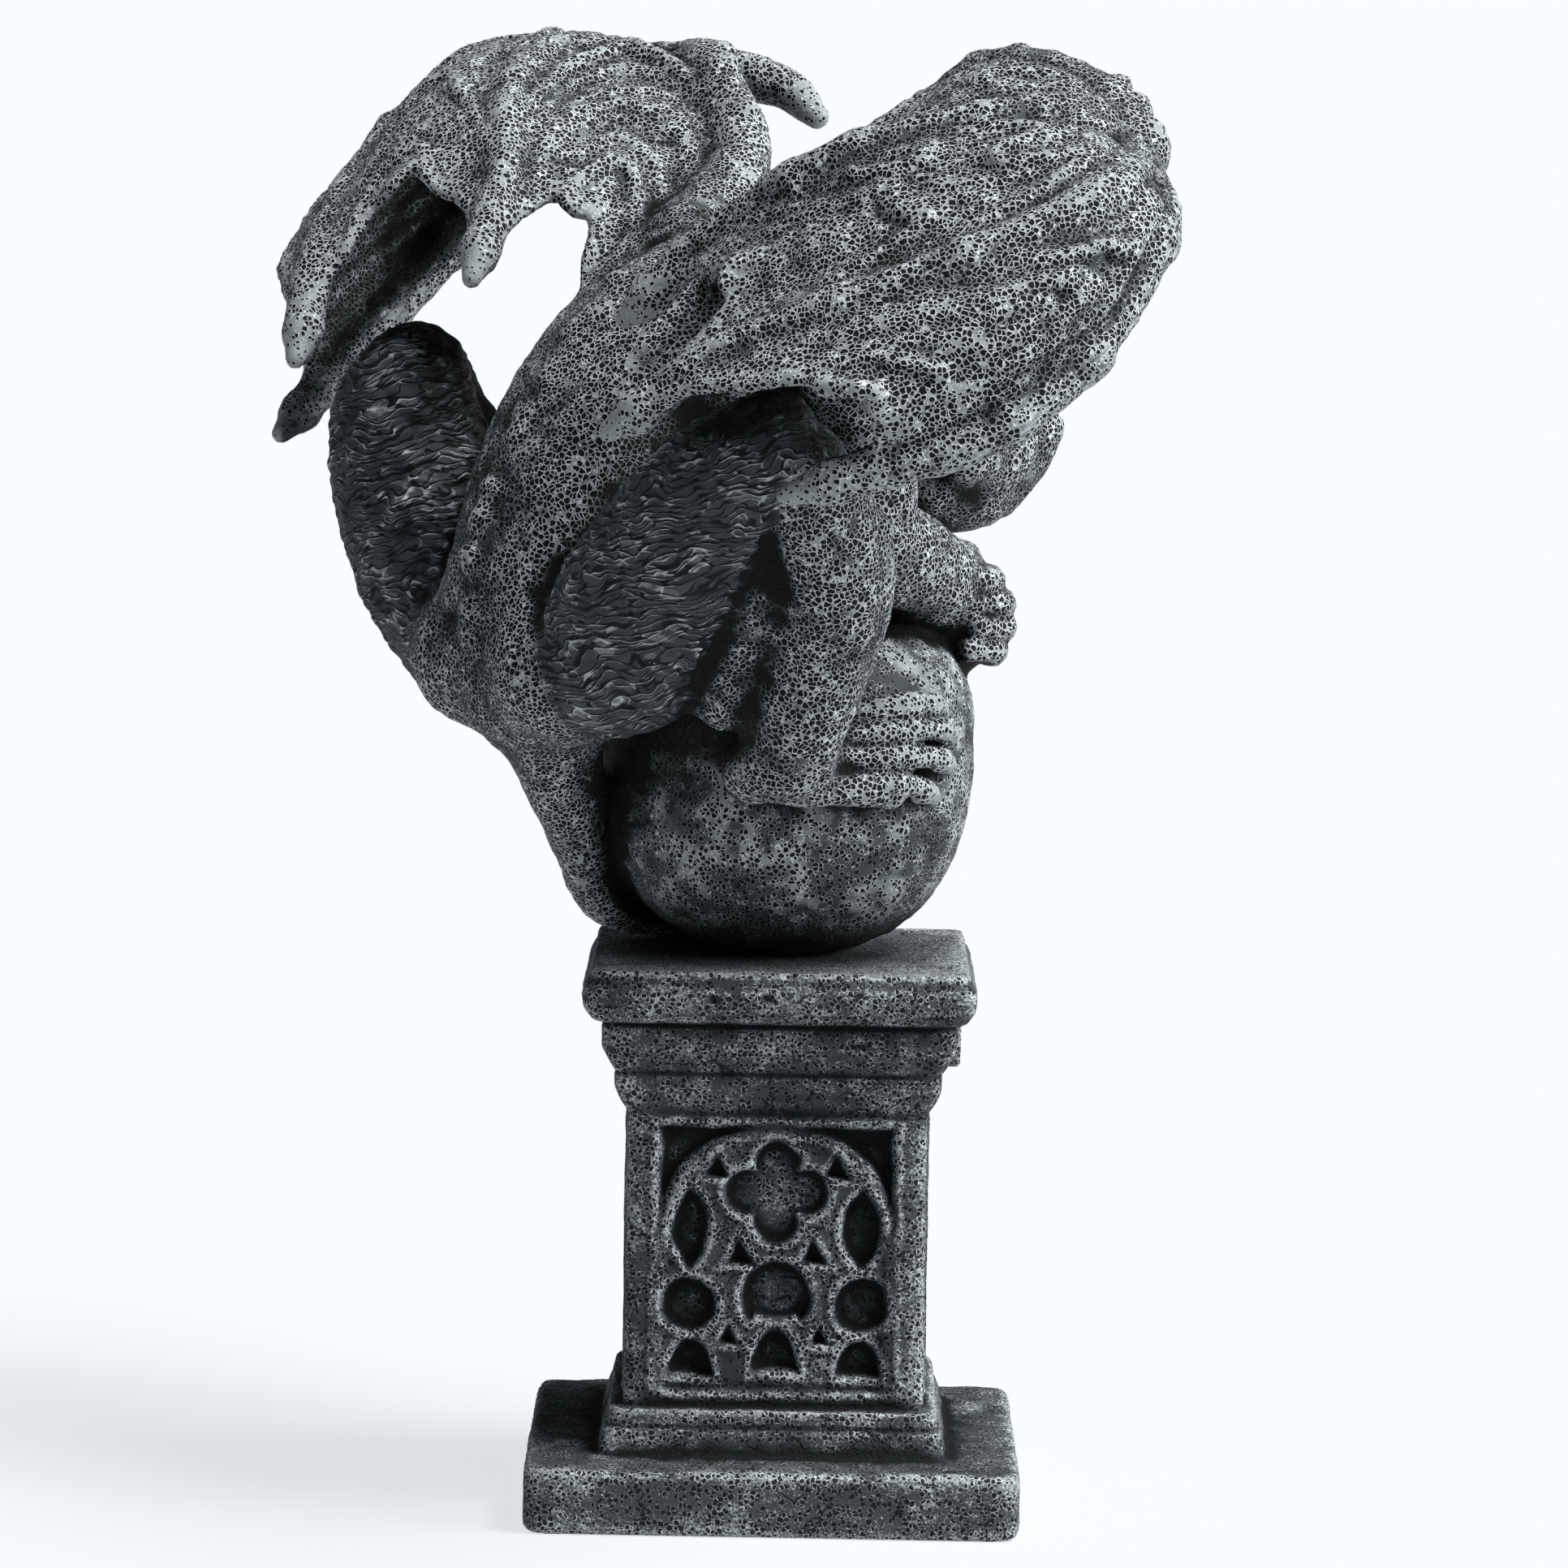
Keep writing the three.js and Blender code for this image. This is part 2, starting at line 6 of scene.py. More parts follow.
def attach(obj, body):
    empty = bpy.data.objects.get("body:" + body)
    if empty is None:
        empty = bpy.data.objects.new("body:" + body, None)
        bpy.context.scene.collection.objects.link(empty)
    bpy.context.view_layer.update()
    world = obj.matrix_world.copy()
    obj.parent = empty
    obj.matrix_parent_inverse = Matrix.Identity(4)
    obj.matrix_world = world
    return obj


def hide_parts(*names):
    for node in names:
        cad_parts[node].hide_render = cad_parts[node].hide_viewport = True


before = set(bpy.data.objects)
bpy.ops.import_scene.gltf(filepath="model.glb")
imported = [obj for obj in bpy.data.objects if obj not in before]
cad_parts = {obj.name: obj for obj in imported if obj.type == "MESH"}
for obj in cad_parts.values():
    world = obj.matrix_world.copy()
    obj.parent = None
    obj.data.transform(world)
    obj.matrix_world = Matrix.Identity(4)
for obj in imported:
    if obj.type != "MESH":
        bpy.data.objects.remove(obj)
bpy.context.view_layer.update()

A = np.array
MM = 0.001

# ------------------------------------------------------------------ sizes, mm, the same as the solids
HEADING = math.radians(34.0)
WING_TILT, TILT_FROM, TILT_OVER = 0.0566, 165.0, 70.0
SEAT = 105.05
BALL = dict(centre=144.5, radius=36.1, below=40.3, above=26.0, nb=2.35, na=3.0)
WRIST = [20, 82, 265.5]
# each wing is given on its own: left (far) and right (near) differ a little
WING_ARM = {1: [WRIST, [17, 65, 269], [12, 47, 268.5], [5, 26, 253], [-16, 14, 238], [-49, 9, 216]],
            -1: [[20, 82, 264.5], [18, 71, 274], [12, 48, 276], [5, 26, 259], [-16, 14, 240], [-49, 9, 216]]}
STRUTS = {
    1: {"low": [WRIST, [6, 101, 252], [-12, 105, 229], [-33, 104, 212], [-60, 89, 197.3]],
        "mid": [WRIST, [-5, 104, 262], [-31, 96, 251], [-60, 71, 232.5], [-75.3, 57.5, 213.5]],
        "high": [WRIST, [-1, 78, 270], [-25, 61, 263], [-39, 41, 249], [-55, 27, 231]]},
    -1: {"low": [[20, 82, 262], [6, 104, 251], [-12, 107, 230], [-31, 102, 215], [-58.5, 86, 202]],
         "mid": [[19, 83, 263], [-5, 104, 258], [-31, 96, 245.5], [-60, 71, 228.5], [-77, 56, 211.5]],
         "high": [WRIST, [-1, 78, 270], [-29, 61, 261.5], [-43, 40, 245.5], [-55, 27, 229]]},
}
# from, to, ends, scallop depth, its shape and lean, bulge and its fullness, held to the edge, lip, folds, height of folds
WEBS = {
    1: [("arm", "high", 1.0, 0.93, 0.17, 0.75, 1.55, 0.5, 1.0, 0.0, 1.8, 1.7, 1.5),
        ("high", "mid", 0.93, 0.92, 0.20, 0.8, 1.0, 7.0, 0.9, 0.35, 4.0, 1.6, 1.4),
        ("mid", "low", 0.92, 0.90, 0.19, 0.8, 1.0, 12.0, 0.6, 1.0, 1.0, 2.0, 1.2)],
    -1: [("arm", "high", 1.0, 0.93, 0.15, 0.6, 1.0, 2.5, 1.0, 0.0, 1.5, 1.4, 1.0),
         ("high", "mid", 0.93, 0.92, 0.20, 0.8, 1.0, 2.0, 1.0, 0.0, 4.5, 1.5, 1.2),
         ("mid", "low", 0.92, 0.945, 0.17, 0.6, 1.3, 12.0, 0.85, 1.0, 4.0, 1.7, 1.3)],
}
FIG_H = 0.85          # voxel of the figure's field
PLINTH_H = 0.6


# ------------------------------------------------------------------ noise
def hash3(i, j, k, seed):
    with np.errstate(over="ignore"):
        h = (i.astype(np.int64) * 73856093) ^ (j.astype(np.int64) * 19349663) ^ (k.astype(np.int64) * 83492791) ^ (seed * 2654435761)
        h = (h & 0xFFFFFFFF).astype(np.uint64)
        h = ((h ^ (h >> np.uint64(15))) * np.uint64(2246822519)) & np.uint64(0xFFFFFFFF)
        h = ((h ^ (h >> np.uint64(13))) * np.uint64(3266489917)) & np.uint64(0xFFFFFFFF)
        h = h ^ (h >> np.uint64(16))
    return h.astype(np.float64) / 4294967296.0


def vnoise(p, seed=0):
    """smooth value noise, 0..1, at points (n, 3)"""
    b = np.floor(p).astype(np.int64)
    f = p - b
    f = f * f * (3 - 2 * f)
    r = 0
    for dx in (0, 1):
        for dy in (0, 1):
            for dz in (0, 1):
                w = (f[:, 0] if dx else 1 - f[:, 0]) * (f[:, 1] if dy else 1 - f[:, 1]) * (f[:, 2] if dz else 1 - f[:, 2])
                r = r + w * hash3(b[:, 0] + dx, b[:, 1] + dy, b[:, 2] + dz, seed)
    return r


def fbm(p, seed=0, octaves=3):
    r, a, t = 0, 1.0, 0.0
    for o in range(octaves):
        r = r + a * vnoise(p * 2 ** o, seed + 17 * o)
        t += a
        a *= 0.5
    return r / t


def cells(p, seed=0):
    """nearest and second nearest distance to one random point per unit cell"""
    b = np.floor(p).astype(np.int64)
    f1 = np.full(len(p), 9.0)
    f2 = np.full(len(p), 9.0)
    for dx in (-1, 0, 1):
        for dy in (-1, 0, 1):
            for dz in (-1, 0, 1):
                c = b + [dx, dy, dz]
                q = np.stack([c[:, m] + hash3(c[:, 0], c[:, 1], c[:, 2], seed + m) for m in range(3)], 1)
                d = np.sqrt(((p - q) ** 2).sum(1))
                f2 = np.minimum(f2, np.maximum(f1, d))
                f1 = np.minimum(f1, d)
    return f1, f2


def sstep(x, a, b):
    t = np.clip((x - a) / (b - a), 0, 1)
    return t * t * (3 - 2 * t)


# ------------------------------------------------------------------ curves
def cat_at(P, s):
    P = np.asarray(P, float)
    n = len(P) - 1
    Q = np.vstack([2 * P[0] - P[1], P, 2 * P[-1] - P[-2]])
    s = np.clip(np.asarray(s, float), 0, 1) * n
    i = np.minimum(s.astype(int), n - 1)
    t = (s - i)[..., None]
    p0, p1, p2, p3 = Q[i], Q[i + 1], Q[i + 2], Q[i + 3]
    return 0.5 * ((2 * p1) + (-p0 + p2) * t + (2 * p0 - 5 * p1 + 4 * p2 - p3) * t ** 2 + (-p0 + 3 * p1 - 3 * p2 + p3) * t ** 3)


def tilt(p):
    p = np.array(p, float)
    t = sstep(p[..., 2], TILT_FROM, TILT_FROM + TILT_OVER)
    p[..., 2] = p[..., 2] + WING_TILT * p[..., 1] * t
    return p


def turn(p, back=False):
    c, s = math.cos(HEADING), math.sin(HEADING) * (-1 if back else 1)
    q = np.array(p, float)
    q[:, 0], q[:, 1] = p[:, 0] * c - p[:, 1] * s, p[:, 0] * s + p[:, 1] * c
    return q


# ------------------------------------------------------------------ distance field on a grid
class Field:
    def __init__(self, lo, hi, h):
        self.lo, self.h = A(lo, float), h
        self.n = np.ceil((A(hi) - self.lo) / h).astype(int) + 1
        self.F = np.full(self.n, 40.0, np.float32)
        self.M = {}

    def window(self, a, b):
        i0 = np.maximum(np.floor((a - self.lo) / self.h).astype(int), 0)
        i1 = np.maximum(np.minimum(np.ceil((b - self.lo) / self.h).astype(int) + 1, self.n), i0)
        sl = tuple(slice(int(x), int(y)) for x, y in zip(i0, i1))
        ax = [(self.lo[k] + self.h * np.arange(i0[k], i1[k])).astype(np.float32) for k in range(3)]
        return sl, ax

    def put(self, sl, d, k, mat=None, carve=False):
        F = self.F[sl]
        if F.size == 0:
            return
        if carve:
            d = -d
            e = np.maximum(k - np.abs(F - d), 0) / k
            self.F[sl] = np.maximum(F, d) + e * e * k * 0.25
            return
        e = np.maximum(k - np.abs(F - d), 0) / k
        names = set(self.M) | set(mat or {})
        if names:
            w = np.clip(0.5 + 0.5 * (F - d) / max(k * 0.6, 0.8), 0, 1)
            for name in names:
                if name not in self.M:
                    self.M[name] = np.zeros(self.n, np.float32)
                m = self.M[name][sl]
                m += (float((mat or {}).get(name, 0)) - m) * w
        self.F[sl] = np.minimum(F, d) - e * e * k * 0.25

    def limb(self, pts, k, mat=None, carve=False):
        """round tapering limb through rows x, y, z, radius"""
        pad = k + 3 * self.h
        sl, ax = self.window((pts[:, :3] - pts[:, 3:]).min(0) - pad, (pts[:, :3] + pts[:, 3:]).max(0) + pad)
        D = np.full([len(x) for x in ax], 40.0, np.float32)
        for p, q in zip(pts[:-1], pts[1:]):
            r = max(p[3], q[3]) + pad
            lo, hi = np.minimum(p[:3], q[:3]) - r, np.maximum(p[:3], q[:3]) + r
            j = [slice(*np.searchsorted(ax[m], [lo[m], hi[m]])) for m in range(3)]
            if any(x.start >= x.stop for x in j):
                continue
            X = ax[0][j[0]][:, None, None] - np.float32(p[0])
            Y = ax[1][j[1]][None, :, None] - np.float32(p[1])
            Z = ax[2][j[2]][None, None, :] - np.float32(p[2])
            v = (q - p)[:3].astype(np.float32)
            L = np.float32(max(float(v @ v), 1e-9))
            t = np.clip((X * v[0] + Y * v[1] + Z * v[2]) / L, 0, 1)
            d = np.sqrt((X - t * v[0]) ** 2 + (Y - t * v[1]) ** 2 + (Z - t * v[2]) ** 2) - (np.float32(p[3]) + t * np.float32(q[3] - p[3]))
            w = D[j[0], j[1], j[2]]
            np.minimum(w, d, out=w)
        self.put(sl, D, k, mat, carve)

    def egg(self, c, r, e=(0, 0, 0), k=2.0, mat=None, carve=False):
        a, b, g = np.radians(e)
        ca, sa, cb, sb, cc, sc = math.cos(a), math.sin(a), math.cos(b), math.sin(b), math.cos(g), math.sin(g)
        M = A([[cc, -sc, 0], [sc, cc, 0], [0, 0, 1]]) @ A([[cb, 0, sb], [0, 1, 0], [-sb, 0, cb]]) @ A([[1, 0, 0], [0, ca, -sa], [0, sa, ca]])
        r = A(r, float)
        m = r.max() + k + 3 * self.h
        sl, ax = self.window(c - m, c + m)
        X, Y, Z = np.meshgrid(ax[0] - np.float32(c[0]), ax[1] - np.float32(c[1]), ax[2] - np.float32(c[2]), indexing="ij", sparse=True)
        u = [np.float32(M[0, i]) * X + np.float32(M[1, i]) * Y + np.float32(M[2, i]) * Z for i in range(3)]
        k0 = np.sqrt(sum((u[i] / np.float32(r[i])) ** 2 for i in range(3)))
        k1 = np.sqrt(sum((u[i] / np.float32(r[i] ** 2)) ** 2 for i in range(3)))
        self.put(sl, (k0 * (k0 - 1) / np.maximum(k1, 1e-6)).astype(np.float32), k, mat, carve)

    def skin(self, pts, rad, k, mat=None):
        """thick sheet through a cloud of points"""
        h = self.h
        m = rad.max() + k * 0.5 + 2.2 * h
        sl, ax = self.window(pts.min(0) - m, pts.max(0) + m)
        shp = [len(x) for x in ax]
        o = A([x[0] for x in ax], float)
        flat = np.full(shp[0] * shp[1] * shp[2], 40.0, np.float32)
        u = (pts - o) / h
        c = np.round(u).astype(np.int64)
        f = ((u - c) * h).astype(np.float32)
        lin = (c[:, 0] * shp[1] + c[:, 1]) * shp[2] + c[:, 2]
        w = int(np.ceil(m / h))
        rad = rad.astype(np.float32)
        inside = ((c >= w) & (c < A(shp) - w)).all(1)
        lin, f, rad = lin[inside], f[inside], rad[inside]
        for dx in range(-w, w + 1):
            for dy in range(-w, w + 1):
                for dz in range(-w, w + 1):
                    if (dx * dx + dy * dy + dz * dz) * h * h > m * m:
                        continue
                    d = np.sqrt((dx * h - f[:, 0]) ** 2 + (dy * h - f[:, 1]) ** 2 + (dz * h - f[:, 2]) ** 2) - rad
                    np.minimum.at(flat, lin + ((dx * shp[1] + dy) * shp[2] + dz), d)
        self.put(sl, flat.reshape(shp), k, mat)

    def sample(self, G, P):
        u = np.clip((P - self.lo) / self.h, 0, A(G.shape) - 1.001)
        i = u.astype(int)
        f = u - i
        r = 0
        for dx in (0, 1):
            for dy in (0, 1):
                for dz in (0, 1):
                    w = (f[:, 0] if dx else 1 - f[:, 0]) * (f[:, 1] if dy else 1 - f[:, 1]) * (f[:, 2] if dz else 1 - f[:, 2])
                    r = r + w * G[i[:, 0] + dx, i[:, 1] + dy, i[:, 2] + dz]
        return r

    def normal(self, P):
        e = 0.8 * self.h
        g = np.stack([self.sample(self.F, P + d) - self.sample(self.F, P - d) for d in np.eye(3) * e], 1)
        return g / np.maximum(np.linalg.norm(g, axis=1, keepdims=True), 1e-9)

    def nets(self):
        """surface of the field as quads"""
        F = self.F
        s = F < 0
        n = A(F.shape) - 1
        cnt = np.zeros(n, np.int8)
        for dx in (0, 1):
            for dy in (0, 1):
                for dz in (0, 1):
                    cnt += s[dx:dx + n[0], dy:dy + n[1], dz:dz + n[2]]
        act = (cnt > 0) & (cnt < 8)
        idx = np.argwhere(act)
        ids = np.full(n, -1, np.int32)
        ids[act] = np.arange(len(idx))
        acc = np.zeros((len(idx), 3))
        num = np.zeros(len(idx))
        cor = [(x, y, z) for z in (0, 1) for y in (0, 1) for x in (0, 1)]
        edges = [(0, 1), (2, 3), (4, 5), (6, 7), (0, 2), (1, 3), (4, 6), (5, 7), (0, 4), (1, 5), (2, 6), (3, 7)]
        v = [F[idx[:, 0] + c[0], idx[:, 1] + c[1], idx[:, 2] + c[2]] for c in cor]
        for a, b in edges:
            m = (v[a] < 0) != (v[b] < 0)
            t = np.where(m, v[a] / np.where(m, v[a] - v[b], 1), 0)
            pa, pb = A(cor[a], float), A(cor[b], float)
            acc[m] += pa + (pb - pa) * t[m][:, None]
            num += m
        V = self.lo + self.h * (idx + acc / num[:, None])
        quads = []
        for ax in range(3):
            sa = s[tuple(slice(0, -1) if m == ax else slice(1, -1) for m in range(3))]
            sb = s[tuple(slice(1, None) if m == ax else slice(1, -1) for m in range(3))]
            e = np.argwhere(sa != sb)
            flip = sa[tuple(e.T)]
            base = e.copy()
            for m in range(3):
                if m != ax:
                    base[:, m] += 1
            a1, a2 = [(1, 2), (2, 0), (0, 1)][ax]

            def at(d1, d2):
                c = base.copy()
                c[:, a1] += d1
                c[:, a2] += d2
                return ids[tuple(c.T)]
            q = np.stack([at(-1, -1), at(0, -1), at(0, 0), at(-1, 0)], 1)
            q[~flip] = q[~flip][:, ::-1]
            quads.append(q)
        return V, np.vstack(quads)


def blur(G, r, passes=2):
    """box blur of radius r voxels along each axis"""
    G = G.astype(np.float32)
    for _ in range(passes):
        for ax in range(3):
            P = np.pad(G, [(r + 1, r) if k == ax else (0, 0) for k in range(3)], mode="edge")
            C = np.cumsum(P, axis=ax, dtype=np.float32)
            hi = [slice(None)] * 3
            lo = [slice(None)] * 3
            hi[ax] = slice(2 * r + 1, None)
            lo[ax] = slice(0, -(2 * r + 1))
            G = (C[tuple(hi)] - C[tuple(lo)]) / (2 * r + 1)
    return G


def hollows(field, radii):
    """for each radius, how far the neighbourhood is filled beyond a flat surface's half: + in creases, - on edges"""
    occ = np.clip(0.5 - field.F / (2 * field.h), 0, 1)
    return [blur(occ, max(int(round(r / field.h / 1.6)), 1)) for r in radii]


def sky_shade(field, B, rays=20, steps=12):
    """share of the open sky hidden from each surface point by the rest of the figure"""
    n = A(field.F.shape) // 4 * 4
    solid = (field.F[:n[0], :n[1], :n[2]] < 0).reshape(n[0] // 4, 4, n[1] // 4, 4, n[2] // 4, 4).mean((1, 3, 5)) > 0.3
    top = A(solid.shape) - 1
    N = field.normal(B)
    cell = 4 * field.h
    start = B + N * 4.5 - field.lo
    hid, tot = np.zeros(len(B)), np.full(len(B), 1e-6)
    for k in range(rays):
        z = 1 - 1.35 * (k + 0.5) / rays
        a = 2.399963 * k
        d = A([math.sqrt(1 - z * z) * math.cos(a), math.sqrt(1 - z * z) * math.sin(a), z])
        w = np.maximum(N @ d + 0.1, 0) * (0.55 + 0.45 * max(z, 0))
        hit = np.zeros(len(B), bool)
        for j in range(1, steps):
            q = ((start + d * (j * 4.8)) / cell).astype(int)
            ok = ((q >= 0) & (q <= top)).all(1)
            q = np.clip(q, 0, top)
            hit |= ok & solid[q[:, 0], q[:, 1], q[:, 2]]
        hid += w * hit
        tot += w
    return hid / tot


# ------------------------------------------------------------------ the figure's field
def pair(rows, n=10):
    """dense left and right copies of a paired limb"""
    P = np.asarray(rows, float)
    s = np.linspace(0, 1, (len(P) - 1) * n + 1)
    pts = cat_at(P, s) if len(P) > 2 else P
    pts[:, 3] = np.maximum(pts[:, 3], 0.4)
    out = []
    for side in (1, -1):
        q = pts.copy()
        q[:, 1] *= side
        q[:, :3] = tilt(q[:, :3])
        out.append(q)
    return out


def figure_field():
    g = Field([-100, -128, 92], [74, 128, 290], FIG_H)
    fur, claw, wing = {"fur": 1.0}, {"claw": 1.0}, {"wing": 1.0}

    def limb(rows, k=2.0, mat=None, n=8, both=True, carve=False):
        for q in pair(rows, n)[: 2 if both else 1]:
            g.limb(q, k, mat, carve)

    def egg(c, r, e=(0, 0, 0), k=2.0, mat=None, both=True, carve=False):
        for side in ((1, -1) if both else (1,)):
            p = tilt(A([[c[0], c[1] * side, c[2]]], float))[0]
            g.egg(p, r, (e[0] * side, e[1], e[2] * side), k, mat, carve)

    # ball: a squat superellipse
    sl, ax = g.window(A([-41, -41, 96]), A([41, 41, 176]))
    X, Y, Z = np.meshgrid(*ax, indexing="ij", sparse=True)
    rr = np.sqrt(X * X + Y * Y) / np.float32(BALL["radius"])
    dz = Z - np.float32(BALL["centre"])
    f = np.where(dz < 0, (rr ** BALL["nb"] + (np.abs(dz) / BALL["below"]) ** BALL["nb"]) ** (1 / BALL["nb"]),
                 (rr ** BALL["na"] + (np.abs(dz) / BALL["above"]) ** BALL["na"]) ** (1 / BALL["na"]))
    g.put(sl, ((f - 1) * np.where(dz < 0, 37.0, 30.0)).astype(np.float32), 0.8, {"ball": 1.0})

    # trunk
    limb([[-53, 0, 163, 19], [-51, 0, 181, 19.5], [-43, 0, 200, 19], [-31, 0, 217, 18], [-14, 0, 229, 15], [6, 0, 228, 12.5], [22, 0, 219, 12]], 5, both=False)
    egg([-14, 18, 230], [15, 12, 12], (0, 25, 0), 7)
    egg([-20, 10, 205], [19, 16, 23], (0, -25, 0), 6)
    limb([[-60, 9, 176, 9], [-52, 10, 200, 9], [-38, 12, 219, 8.5], [-20, 15, 233, 7]], 4)      # long muscles beside the spine
    egg([-58, 14, 163], [15, 13, 14], k=5)
    # legs
    thigh = [[[-53, 25, 167, 16.5], [-54, 40, 181, 17.2], [-50, 58, 200, 15], [-44, 65, 209, 11]],
             [[-53, 25, 167, 16.5], [-55.5, 39, 181.5, 15.4], [-53.5, 55.5, 200, 12.2], [-46.5, 62.5, 210, 9.2]]]
    for q, rows in zip((0, 1), thigh):
        g.limb(pair(rows, 26)[q], 3, fur)
    limb([[-41, 63, 203, 10], [-32.5, 59, 190, 11.2], [-28.0, 53.5, 176, 11], [-27.0, 44.8, 158, 9.9], [-25.6, 38.6, 148, 9.2]], 2.5, n=20)
    limb([[-24, 65, 192, 2.4], [-19.5, 57.5, 176, 2.4], [-19.3, 47.8, 158, 2.0]], 3.5)                  # shin crest
    limb([[-43, 53, 191, 7], [-40, 46, 176, 8], [-37, 36, 160, 8]], 3)                          # back of the knee
    # feet
    limb([[-28, 32, 144.5, 6.6], [-23, 36, 147.5, 7.2], [-14, 36.2, 147, 5.0]], 2.5)
    egg([-29.4, 37.4, 146.4], [5.0, 5.6, 5.2], k=1.4)
    limb([[-30, 44.0, 153, 0.7], [-25.8, 44.8, 149.5, 1.1], [-23, 45, 146, 0.9], [-22, 44.6, 143, 0.6]], 1.4, carve=True)
    limb([[-29.0, 36.0, 143.0, 4.0], [-21, 38.6, 141.6, 3.9], [-11, 39.8, 140.6, 3.4], [-3, 39.8, 139.4, 3.2]], 1.4)
    toes = [(154.6, 155.2, 9), (150.6, 150.2, 14), (146.4, 144.6, 13), (142, 139.2, 6)]
    for i, (z0, z1, b1) in enumerate(toes):
        def on(deg, reach, z, r):
            return [reach * math.sin(math.radians(deg)), reach * math.cos(math.radians(deg)), z, r]
        zm = (z0 + z1) / 2 + 0.9
        limb([on(-26 - 3 * i, 39.4, z0 + 0.5, 2.4), on(-12 - 2.4 * i, 41.4, (z0 + zm) / 2, 2.1), on(-3 - 1.6 * i + b1 * 0.2, 41.6, zm, 2.7),
              on(b1 * 0.62 - 1, 40.4, (zm + z1) / 2 + 0.3, 2.1), on(b1, 39.8, z1 + 0.2, 2.5)], 0.7, n=7)
        limb([on(b1 + 2, 38.9, z1, 2.5), on(b1 + 6, 38.4, z1 - 1.0, 1.8), on(b1 + 10, 37.2, z1 - 2.8, 0.7)], 0.6, claw)
    # arms and hands
    limb([[-8, 26, 224, 11], [-1, 26, 204, 10], [1, 25, 187, 9.8], [14, 20, 180.5, 9.8], [27, 14, 174.6, 9.0]], 3)
    egg([31, 12, 168.6], [8.4, 9.6, 10.4], (0, 12, 0), 2.5)
    for i, z in enumerate((176.2, 171.6, 167.0, 162.6)):
        x = (36.6, 39.0, 39.4, 37.4)[i]
        limb([[x - 10, 21.0, z + 1.0, 2.4], [x - 4, 20.4, z + 0.4, 2.5], [x - 0.6, 15.5, z, 3.0], [x, 9.0, z - 0.3, 2.5], [x - 3.4, 3.6, z - 0.6, 2.3]], 0.8)
    limb([[24, 18, 180, 3.2], [30.5, 14.5, 181, 3.0], [35.6, 9.5, 179, 2.4]], 1.2)
    # head: low brow, blunt muzzle, heavy jaw
    egg([25, 0, 215], [17, 14.5, 14], (0, 10, 0), 4, both=False)
    limb([[34, 0, 208, 11], [44, 0, 204.5, 10], [53, 0, 203, 8.6]], 4, both=False)
    limb([[30, 0, 195, 10.5], [40, 0, 192.8, 8.8], [46.5, 0, 193, 7]], 2.2, both=False)
    egg([50, 0, 198], [8, 8.2, 8], k=3, both=False)
    limb([[28, 13.5, 198.5, 0.6], [42, 10.5, 198, 0.9], [50, 8.2, 197.6, 0.4]], 1.2, carve=True)
    egg([40, 8, 213], [7.5, 7, 5], (0, 15, 20), 2.5)
    egg([46.5, 7.4, 208.6], [3.4, 2.8, 2.4], k=0.8, carve=True)
    egg([45.2, 6.9, 208.4], [2.7, 2.5, 2.1], k=0.5)
    egg([57.0, 4.2, 204.6], [3.2, 3.2, 2.8], k=2)
    egg([33, 11, 201], [8, 5.5, 7], k=3)
    egg([41, 8.2, 200.5], [9, 4.6, 7.2], k=3.5)
    limb([[50, 7, 198.6, 1.3], [51.5, 7.6, 194.6, 0.5]], 0.6, claw)
    limb([[20, 13, 220, 5], [10, 22, 230, 4], [0, 27, 238, 1.2]], 2)
    limb([[16, 18, 225, 1.8], [9, 24.5, 231.5, 1.5], [3, 27.5, 236, 0.6]], 1.2, carve=True)
    limb([[28, 8, 227, 4.2], [20, 12, 238, 3.4], [8, 14, 243, 1.2]], 1.5, claw)
    for q in (0.2, 0.4, 0.6):
        c = cat_at(A([[28, 8, 227], [20, 12, 238], [8, 14, 243]], float), q)
        egg(c, [4.6 - 2.2 * q, 4.6 - 2.2 * q, 1.0], (0, -50, 0), 0.8, claw)
    # tail
    limb([[-57, 0, 160, 12], [-49.5, 3.5, 145, 8.6], [-37, 13, 127, 6.2], [-25.5, 22, 114, 5.2], [-10, 26.5, 110, 4.7], [9, 26, 109.4, 4.1], [22, 18, 108.8, 2.4]], 3, both=False)
    # vertebrae
    sp = cat_at(A([[-69, 0, 156], [-72, 0, 178], [-64.5, 0, 200], [-52.5, 0, 218], [-37, 0, 237]], float), np.linspace(0, 1, 80))
    run = np.r_[0, np.cumsum(np.linalg.norm(np.diff(sp, axis=0), axis=1))]
    for i, q in enumerate(np.arange(3, run[-1], 7.6)):
        q = q + 1.6 * math.sin(2.3 * i)
        p = A([np.interp(q, run, sp[:, j]) for j in range(3)])
        g.egg(p + [1.3, 0.7 * math.sin(3 * i), 0], A([2.3, 2.6, 2.3]) * (1 + 0.25 * math.sin(5.1 * i)), (0, 0, 0), 2.4)
    # wings
    for side in (1, -1):
        arm = WING_ARM[side]
        curves = dict(STRUTS[side], arm=arm)

